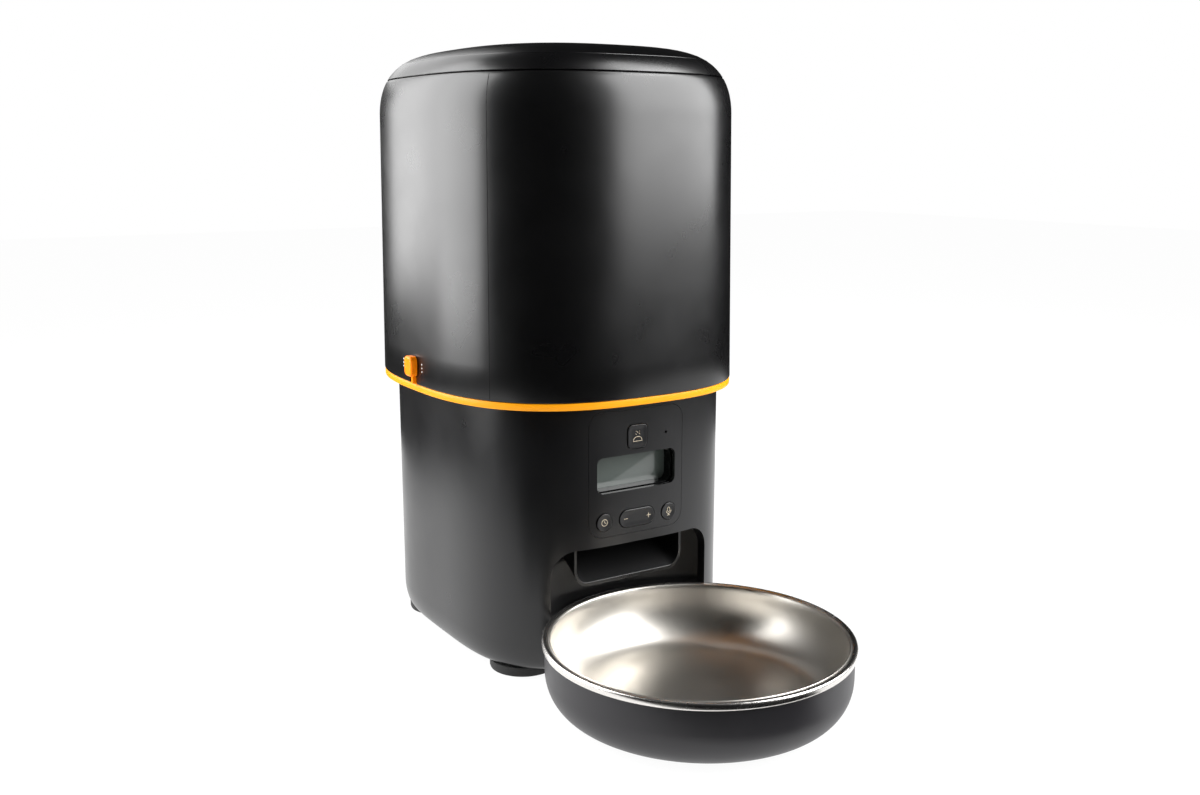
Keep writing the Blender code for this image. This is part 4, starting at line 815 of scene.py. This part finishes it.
# ---- control panel and keys
# For each key: its body, half the width and height of its face, its corner, and the steps of its
# hole's corners, or 0 where the hole is round.
KEYS = {"feed_button": ("feed_key", 0.00665, 0.00685, 0.0032, 8),
        "adjust_rocker": ("rocker_key", 0.012, 0.0051, 0.0050, 10),
        "set_button": ("set_key", 0.005, 0.005, 0.0049, 0),
        "record_button": ("record_key", 0.005, 0.005, 0.0049, 0)}
CUT_FRONT, CUT_BACK = BASE_LOW.y - 0.01, BASE_LOW.y + 0.02


def key_middle(node):
    """Middle of a key's box as (x, z)."""
    low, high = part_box(node)
    return (low.x + high.x) / 2, (low.z + high.z) / 2


def square_hole(name, x, z, half_width, half_height, corner, steps):
    return box_between(name, (x - half_width, CUT_FRONT, z - half_height),
                       (x + half_width, CUT_BACK, z + half_height), corner, "Y", steps)


def round_hole(name, x, z, radius, steps=48):
    return rod_along(name, radius, (x, CUT_FRONT, z), (x, CUT_BACK, z), steps=steps)


class FEEDER_OT_panel(bpy.types.Operator):
    """Build the control panel, its keys and their symbols"""

    bl_idname = "feeder.panel"
    bl_label = "Control panel"

    def execute(self, context):
        size = sizes()
        panel = ring_loft("panel_insert", base_rings(0.0, BASE_LOW.z, BASE_HIGH.z))
        combine(panel, panel_cutter("panel_outline", 0.0), "INTERSECT")
        combine(panel, ring_loft("panel_back", hollow_rings()))
        display_z = (BEZEL_LOW.z + BEZEL_HIGH.z) / 2
        bezel_wall = 0.0012
        half_width = BEZEL_HIGH.x - bezel_wall
        half_height = (BEZEL_HIGH.z - BEZEL_LOW.z) / 2 - bezel_wall
        combine(panel, square_hole("display_hole", 0, display_z, half_width, half_height,
                                   size.display_corner, 10))
        gap = size.key_gap
        for node, (_, half_key, half_tall, corner, steps) in KEYS.items():
            x, z = key_middle(node)
            if steps:
                hole = square_hole(node + "_hole", x, z, half_key + gap, half_tall + gap,
                                   corner + gap, steps)
            else:
                hole = round_hole(node + "_hole", x, z, half_key + gap)
            combine(panel, hole)
        mic_low, mic_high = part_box("microphone")
        mic, mic_radius = (mic_low + mic_high) / 2, 0.0008
        combine(panel, round_hole("mic_hole", mic.x, mic.z, mic_radius, 24))
        soften_edges(panel, 0.0003, 3)
        even_normals(panel)
        settle(panel, "charcoal_abs", "base", "charcoal", "control_panel")
        panel.data.materials.append(FINISHES["glossy_abs"])
        for face in panel.data.polygons:
            across = abs(face.center.x) - half_width
            up = abs(face.center.z - display_z) - half_height
            if max(across, up) < 0.0002 and abs(face.normal.y) < 0.95:
                face.material_index = 1

        self.keys()
        self.symbols()
        return {"FINISHED"}

    def keys(self):
        """Each key is a cap with a flat flange behind the panel."""
        flange_front, flange_thick = BASE_LOW.y + 0.0033, 0.001
        for node in ("feed_button", "set_button", "record_button", "adjust_rocker"):
            body, half_width, half_height, corner, _ = KEYS[node]
            low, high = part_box(node)
            x, z = key_middle(node)
            key = box_between(node + "_cap", (x - half_width, low.y, z - half_height),
                              (x + half_width, high.y, z + half_height), corner, "Y", 10)
            self.dish(key)
            plate = box_between(node + "_plate", (low.x, flange_front, low.z),
                                (high.x, flange_front + flange_thick, high.z),
                                min(corner + 0.0008, 0.006), "Y", 8)
            combine(key, plate, "UNION")
            even_normals(key, 40)
            settle(key, "key_abs", body, "charcoal", node)

    def dish(self, key):
        """Rounds the key's front edge and sinks its middle a little."""
        round_face_edges(key, 1, -1, 0.0004, 4)
        mesh = edit(key)
        bpy.ops.mesh.select_all(action="DESELECT")
        bpy.ops.mesh.select_mode(type="FACE")
        reach = min(vert.co.y for vert in mesh.verts)
        for face in mesh.faces:
            face.select = face.normal.y < -0.99 and face.calc_center_median().y < reach + 1e-5
        bmesh.update_edit_mesh(key.data)
        for _ in range(3):
            bpy.ops.mesh.inset(thickness=0.0009, depth=-0.00008)
        bpy.ops.mesh.select_mode(type="VERT")
        leave_edit()

    def symbols(self):
        bowl = [(-2.9, -2.7), (-2.9, -1.9), (-2.2, -0.8), (-1.2, -0.3), (0, -0.1), (1.2, -0.3),
                (2.2, -0.8), (2.9, -1.9), (2.9, -2.7), (-2.9, -2.7)]
        kibble = [[(-1.4, 1.6), (-0.9, 1.1)], [(-0.3, 2.6), (0.2, 2.1)], [(0.9, 1.7), (1.4, 1.2)],
                  [(-1.2, 3.1), (-0.9, 2.8)], [(1.1, 3.1), (1.4, 2.8)]]
        minus, plus = [(-8.9, 0), (-6.5, 0)], [[(6.4, 0), (9.2, 0)], [(7.8, -1.4), (7.8, 1.4)]]
        clock = [(1.9 * math.cos(math.tau * i / 20), 1.9 * math.sin(math.tau * i / 20))
                 for i in range(21)]
        hands = [(0, 1.2), (0, 0), (0.9, -0.5)]
        capsule = [(-0.8, 0.2), (-0.8, 1.7), (-0.4, 2.3), (0.4, 2.3), (0.8, 1.7), (0.8, 0.2),
                   (0.4, -0.4), (-0.4, -0.4), (-0.8, 0.2)]
        cradle = [(-1.6, 0.5), (-1.5, -0.5), (-0.8, -1.2), (0, -1.4), (0.8, -1.2), (1.5, -0.5),
                  (1.6, 0.5)]
        stand = [[(0, -1.4), (0, -2.4)], [(-0.9, -2.4), (0.9, -2.4)]]
        self.stroke("feed_symbol", [bowl, *kibble], "feed_button")
        self.stroke("rocker_symbol", [minus, *plus], "adjust_rocker")
        self.stroke("set_symbol", [clock, hands], "set_button")
        self.stroke("record_symbol", [capsule, cradle, *stand], "record_button")

    def stroke(self, name, strokes, node):
        """Strokes given in millimetres about the key's middle, sunk into its dished face."""
        x, z = key_middle(node)
        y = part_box(node)[0].y + 0.19 * MM
        runs = [[(x + across * MM, y, z + up * MM) for across, up in stroke] for stroke in strokes]
        beads(name, runs, 0.15 * MM, "symbol_ink", KEYS[node][0], "acetal")


# ---- locks
class FEEDER_OT_latches(bpy.types.Operator):
    """Build the sliding locks and the marks beside them"""

    bl_idname = "feeder.latches"
    bl_label = "Locks"

    def execute(self, context):
        low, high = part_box("latch_left")
        middle = (low.y + high.y) / 2
        out, face = low.x, -HOPPER_HALF - 0.0003
        top = high.z
        bottom = top - 0.013
        knob = box_between("lock_left", (out, low.y + 0.0010, bottom),
                           (face, high.y - 0.0010, top - 0.0012), 0.0030, "X", 8)
        round_face_edges(knob, 0, -1, 0.0013, 6)
        stem_low, stem_high = middle - 0.0023, middle - 0.0001
        stem = box_between("stem", (face - 0.0018, stem_low, HOPPER_LOW.z + 0.0003),
                           (face - 0.0002, stem_high, bottom + 0.002))
        arm = box_between("arm", (-HOPPER_HALF + 0.0075, stem_low, HOPPER_LOW.z + 0.0004),
                          (face - 0.0015, stem_high, HOPPER_LOW.z + 0.0041))
        tongue = box_between("tongue", (-HOPPER_HALF + 0.0074, stem_low, low.z),
                             (-HOPPER_HALF + 0.0036, stem_high, HOPPER_LOW.z + 0.0013))
        for piece in (stem, arm, tongue):
            combine(knob, piece, "UNION")
        twin = mirrored(knob, "lock_right")
        even_normals(knob, 30)
        even_normals(twin, 30)
        settle(knob, "orange_abs", "left_latch", "orange", "latch_left")
        settle(twin, "orange_abs", "right_latch", "orange", "latch_right")

        marks = None
        before, behind, lowest, rise, radius = 0.0103, 0.0152, 0.0083, 0.0021, 0.00045
        for place_y in (middle - before, middle + behind):
            for step in range(3):
                height = HOPPER_LOW.z + lowest + rise * step
                wall = hopper_ring(height)
                share = abs(place_y - BODY_Y) / wall[1]
                reach = wall[0] * (1 - share ** wall[2]) ** (1 / wall[2])
                dot = rod_along("mark", radius, (-reach - 0.00006, place_y, height),
                                (-reach + 0.0006, place_y, height), "X", 20)
                if marks is None:
                    marks = dot
                else:
                    only(marks)
                    dot.select_set(True)
                    bpy.ops.object.join()
        marks.name = "lock_marks_left"
        smooth(marks, 40)
        others = mirrored(marks, "lock_marks_right")
        smooth(others, 40)
        for piece in (marks, others):
            settle(piece, "mark_ink", "hopper", "acetal")
        return {"FINISHED"}


# ---- bowl, holder and drying bag
class FEEDER_OT_bowl(bpy.types.Operator):
    """Build the spun steel bowl and its holder"""

    bl_idname = "feeder.bowl"
    bl_label = "Bowl and holder"

    def execute(self, context):
        def round_ring(radius, height):
            return (radius, radius, 2.0, BOWL_Y, height)

        steel = 0.0008
        rim_z = BOWL_HIGH.z
        wall_radius = BOWL_RADIUS - 0.0044
        floor_radius = 0.052
        floor = BOWL_LOW.z
        depth = rim_z - steel - floor

        def wall_point(turn, shift):
            radius = floor_radius + (wall_radius - floor_radius) * math.sin(turn) ** 0.85
            height = floor + depth * (1 - math.cos(turn)) ** 1.05
            return (radius - math.sin(turn) * shift, height + math.cos(turn) * shift)

        turns = [math.pi / 2 * step / 22 for step in range(22)]
        profile = [(0.001, floor + steel), (0.02, floor + steel), (0.04, floor + steel)]
        profile += [wall_point(turn, steel) for turn in turns]
        # the rolled rim, as steps in millimetres from the wall's top or from the outer edge
        rim = [(wall_radius, -0.4, -1.2), (wall_radius, -0.1, -0.4), (wall_radius, 0.5, -0.15),
               (wall_radius, 1.1, -0.6), (wall_radius, 1.7, -0.6), (wall_radius, 2.2, -0.1),
               (BOWL_RADIUS, -1.3, 0), (BOWL_RADIUS, -0.6, -0.15), (BOWL_RADIUS, -0.15, -0.6),
               (BOWL_RADIUS, 0, -1.3), (BOWL_RADIUS, 0, -3.0), (BOWL_RADIUS, -0.2, -3.7),
               (BOWL_RADIUS, -0.6, -3.9), (BOWL_RADIUS, -0.8, -3.6), (BOWL_RADIUS, -0.8, -1.4),
               (wall_radius, 1.6, -1.4), (wall_radius, 0.6, -1.4)]
        rim = [(radius + out * MM, rim_z + up * MM) for radius, out, up in rim]
        under = [wall_point(turn, 0.0) for turn in reversed(turns)]
        under += [(0.04, floor), (0.001, floor)]
        rings = [round_ring(*point) for point in profile + rim + under]
        bowl = ring_loft("steel_bowl_fine", rings, steps=288, angle=50)
        settle(bowl, "spun_steel", "bowl", "steel", "steel_bowl")
        bowl.data.materials.append(FINISHES["polished_steel"])
        for face in bowl.data.polygons:
            middle = face.center
            radius = math.hypot(middle.x, middle.y - BOWL_Y)
            if radius > wall_radius + 0.0016 and middle.z > rim_z - 0.0045:
                face.material_index = 1

        top = HOLDER_HIGH.z
        outer, wall = HOLDER_RADIUS, 0.0018
        foot, corner_height = 0.060, 0.022

        def corner(turn, shift):
            radius = foot + (outer - foot) * math.sin(turn) ** 0.8
            height = corner_height * (1 - math.cos(turn))
            return (radius - shift * math.sin(turn), height + shift * math.cos(turn))

        steps = [math.pi / 2 * step / 16 for step in range(17)]
        outline = [(0.001, 0.0), (0.03, 0.0)] + [corner(turn, 0.0) for turn in steps]
        outline += [(outer, top - 0.0004), (outer - 0.0004, top), (outer - wall + 0.0004, top),
                    (outer - wall, top - 0.0004)]
        outline += [corner(turn, wall) for turn in reversed(steps)] + [(0.03, wall), (0.001, wall)]
        holder = ring_loft("bowl_holder_fine", [round_ring(*point) for point in outline],
                           steps=160)
        settle(holder, "holder_abs", "holder", "holder_grey", "bowl_holder")
        return {"FINISHED"}


class FEEDER_OT_drying_bag(bpy.types.Operator):
    """Build the paper bag of drying beads inside the cup under the lid"""

    bl_idname = "feeder.drying_bag"
    bl_label = "Drying bag"

    def execute(self, context):
        middle_y = (BAG_LOW.y + BAG_HIGH.y) / 2
        middle_z = (BAG_LOW.z + BAG_HIGH.z) / 2
        radius = BAG_HIGH.x
        half = (BAG_HIGH.z - BAG_LOW.z) / 2
        profile = [(0.04, -0.86), (0.35, -0.84), (0.62, -0.70), (0.80, -0.45), (0.90, -0.16),
                   (0.97, -0.05), (1.0, 0.0), (0.97, 0.05), (0.90, 0.16), (0.80, 0.45),
                   (0.62, 0.70), (0.35, 0.84), (0.04, 0.86)]
        rings = [(radius * across * 0.985, radius * across * 0.985, 2.0, middle_y,
                  middle_z + half * up) for across, up in profile]
        bag = ring_loft("drying_bag", rings, steps=96)
        for vert in bag.data.vertices:
            x, y = vert.co.x, vert.co.y - middle_y
            turn, share = math.atan2(y, x), math.hypot(x, y) / radius
            crimp = math.sin(turn * 24) * 0.00025 * max(0.0, share - 0.85) / 0.15
            beads = math.sin(x * 1900) * math.sin(y * 1700) * 0.0003 * max(0.0, 0.85 - share)
            vert.co.z += crimp + math.copysign(beads, vert.co.z - middle_z)
        smooth(bag, 60)
        settle(bag, "bag_paper", "lid_group", "paper", "desiccant_bag")
        return {"FINISHED"}


class FEEDER_OT_inner_finishes(bpy.types.Operator):
    """Give the remaining parts their finishes"""

    bl_idname = "feeder.inner_finishes"
    bl_label = "Inner finishes"

    def execute(self, context):
        for finish, nodes in CAD_FINISHES.items():
            for node in nodes:
                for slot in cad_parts[node].material_slots:
                    slot.material = FINISHES[finish]
        return {"FINISHED"}


# ---- stage
def soft_lamp(name, place, target, width, height, watts):
    lamp = bpy.data.lights.new(name, "AREA")
    lamp.shape = "RECTANGLE"
    lamp.size = width
    lamp.size_y = height
    lamp.energy = watts
    item = linked(name, lamp)
    item.location = place
    item.rotation_euler = (Vector(target) - Vector(place)).to_track_quat("-Z", "Y").to_euler()
    item.visible_camera = False


def around_hopper(azimuth, distance, height):
    """A place at an azimuth in degrees (0 at +X, 90 at +Y) and a distance from the hopper."""
    turn = math.radians(azimuth)
    return (distance * math.cos(turn), BODY_Y + distance * math.sin(turn), height)


def upright_lamp(name, from_azimuth, to_azimuth, distance, bottom, top, radiance):
    """A soft box that stands upright and faces the hopper between two azimuths."""
    start = Vector(around_hopper(from_azimuth, distance, 0))
    end = Vector(around_hopper(to_azimuth, distance, 0))
    middle = (start + end) / 2
    middle.z = (bottom + top) / 2
    width, height = (end - start).length, top - bottom
    soft_lamp(name, middle, (0, BODY_Y, middle.z), width, height,
              radiance * math.pi * width * height)


TABLE_EDGE = ((-180, 0.42), (-165, 0.38), (-150, 0.24), (-120, 0.20), (-90, 0.19), (-75, 0.19),
              (-66, 0.28), (-61, 0.385), (-56.5, 0.487), (-50, 0.60), (-40, 0.62), (90, 0.62),
              (115, 0.50), (180, 0.42))


def table_reach(azimuth):
    """How far the white table is left open at an azimuth in degrees."""
    for (start, near), (end, far) in zip(TABLE_EDGE, TABLE_EDGE[1:]):
        if azimuth <= end:
            return near + (far - near) * (azimuth - start) / (end - start)
    return TABLE_EDGE[-1][1]


def black_tent():
    """Black cloth round the stage that only reflections see, open over the white table."""
    deselect()
    bpy.ops.mesh.primitive_circle_add(vertices=72, radius=1.0, location=(0, 0, 0.0004))
    tent = bpy.context.object
    tent.name = "black_tent"
    for vert in tent.data.vertices:
        azimuth = math.degrees(math.atan2(vert.co.y, vert.co.x))
        vert.co *= table_reach(azimuth)
    edit(tent)
    bpy.ops.mesh.select_all(action="SELECT")
    for scale, rise in ((4.2, 0.0), (1.0, 2.6)):
        bpy.ops.mesh.extrude_region_move(TRANSFORM_OT_translate={"value": (0, 0, rise)})
        bpy.ops.transform.resize(value=(scale, scale, 1))
    bpy.ops.mesh.edge_face_add()
    leave_edit()
    material = bpy.data.materials.new("black_cloth")
    material.use_nodes = True
    shader = material.node_tree.nodes["Principled BSDF"]
    shader.inputs["Base Color"].default_value = (0.003, 0.003, 0.003, 1)
    shader.inputs["Roughness"].default_value = 1.0
    shader.inputs["Specular IOR Level"].default_value = 0.0
    tent.data.materials.append(material)
    for kind in ("camera", "shadow", "diffuse", "transmission"):
        setattr(tent, "visible_" + kind, False)


def white_rays(shaded):
    """The light path node, and a value that is 1 for camera, glossy and transmission rays."""
    rays = add_node(shaded, "LightPath")
    seen = (rays, "Is Camera Ray")
    for kind in ("Is Glossy Ray", "Is Transmission Ray"):
        most = add_node(shaded, "Math", {0: seen, 1: (rays, kind)}, operation="MAXIMUM")
        seen = (most, "Value")
    return rays, seen


class FEEDER_OT_stage(bpy.types.Operator):
    """Set the floor, the backdrop, the soft lamps and the camera"""

    bl_idname = "feeder.stage"
    bl_label = "Stage"

    def execute(self, context):
        scene = context.scene
        scene.view_settings.view_transform = "Standard"
        deselect()
        bpy.ops.mesh.primitive_plane_add(size=8.0, location=(0, 0, -0.0002))
        floor = newest("floor")
        material = blank_material("pale_floor")
        rays, seen = white_rays(material)
        # the rest of the floor's white is paper, which keeps the feeder's shadow
        glow_share, glow_straight, glow_mirrored = 0.92, 1.04, 1.35
        share = add_node(material, "Math", {0: seen, 1: glow_share}, operation="MULTIPLY")
        paper = add_node(material, "BsdfDiffuse", {"Color": hex_colour("#f4f4f4")})
        level = add_node(material, "MapRange", {
            "Value": (rays, "Is Glossy Ray"), "To Min": glow_straight,
            "To Max": glow_mirrored})
        glow = add_node(material, "Emission", {"Strength": (level, "Result")})
        mixed = add_node(material, "MixShader", {
            0: (share, "Value"), 1: (paper, "BSDF"), 2: (glow, "Emission")})
        add_node(material, "OutputMaterial", {"Surface": (mixed, "Shader")})
        floor.data.materials.append(material)

        world = scene.world or bpy.data.worlds.new("studio")
        scene.world = world
        world.use_nodes = True
        world.node_tree.nodes.clear()
        _, seen = white_rays(world)
        level = add_node(world, "MapRange", {
            "Value": seen, "To Min": 0.35, "To Max": 1.0})
        backdrop = add_node(world, "Background", {
            "Strength": (level, "Result"), "Color": (1, 1, 1, 1)})
        add_node(world, "OutputWorld", {"Surface": (backdrop, "Background")})

        upright_lamp("left_box", 137, 175, 1.0, 0.06, 1.5, 7.6)
        upright_lamp("left_rear_box", 110, 137, 1.0, 0.13, 1.5, 5.6)
        upright_lamp("left_high_box", 76, 109, 1.0, 0.52, 1.5, 1.9)
        upright_lamp("right_box", -69, -15, 1.15, 0.245, 1.5, 9.0)
        soft_lamp("top_lamp", (0.62, -0.35, 1.30), (0, -0.05, 0.1), 0.4, 0.4, 4)
        black_tent()

        camera_data = bpy.data.cameras.new("camera")
        camera_data.lens = 37.0
        camera_data.sensor_width = 36.0
        camera = linked("camera", camera_data)
        camera.location = (-0.3797, -0.5900, 0.2960)
        camera.rotation_euler = (math.radians(78.64), 0.0, math.radians(-32.27))
        scene.camera = camera
        return {"FINISHED"}


class FEEDER_PT_panel(bpy.types.Panel):
    """Lists the feeder's sizes, colours and building steps in the sidebar"""

    bl_label = "Pet feeder"
    bl_idname = "FEEDER_PT_panel"
    bl_space_type = "VIEW_3D"
    bl_region_type = "UI"
    bl_category = "Pet feeder"

    def draw(self, context):
        layout = self.layout
        for group in (context.scene.feeder_sizes, context.scene.feeder_colours):
            for key in group.__annotations__:
                layout.prop(group, key)
        for operator in STEPS:
            layout.operator(operator.bl_idname)


STEPS = (FEEDER_OT_stage, FEEDER_OT_hopper, FEEDER_OT_lid, FEEDER_OT_trim_ring, FEEDER_OT_base,
         FEEDER_OT_feet, FEEDER_OT_panel, FEEDER_OT_latches, FEEDER_OT_bowl, FEEDER_OT_drying_bag,
         FEEDER_OT_inner_finishes)
CLASSES = (FeederSizes, FeederColours, *STEPS, FEEDER_PT_panel)


def register():
    for item in CLASSES:
        bpy.utils.register_class(item)
    bpy.types.Scene.feeder_sizes = bpy.props.PointerProperty(type=FeederSizes)
    bpy.types.Scene.feeder_colours = bpy.props.PointerProperty(type=FeederColours)


def unregister():
    del bpy.types.Scene.feeder_colours
    del bpy.types.Scene.feeder_sizes
    for item in reversed(CLASSES):
        bpy.utils.unregister_class(item)


def main():
    register()
    make_finishes()
    bpy.ops.feeder.stage()
    bpy.ops.feeder.hopper()
    bpy.ops.feeder.lid()
    bpy.ops.feeder.trim_ring()
    bpy.ops.feeder.base()
    bpy.ops.feeder.feet()
    bpy.ops.feeder.panel()
    bpy.ops.feeder.latches()
    bpy.ops.feeder.bowl()
    bpy.ops.feeder.drying_bag()
    bpy.ops.feeder.inner_finishes()


if __name__ == "__main__":
    main()
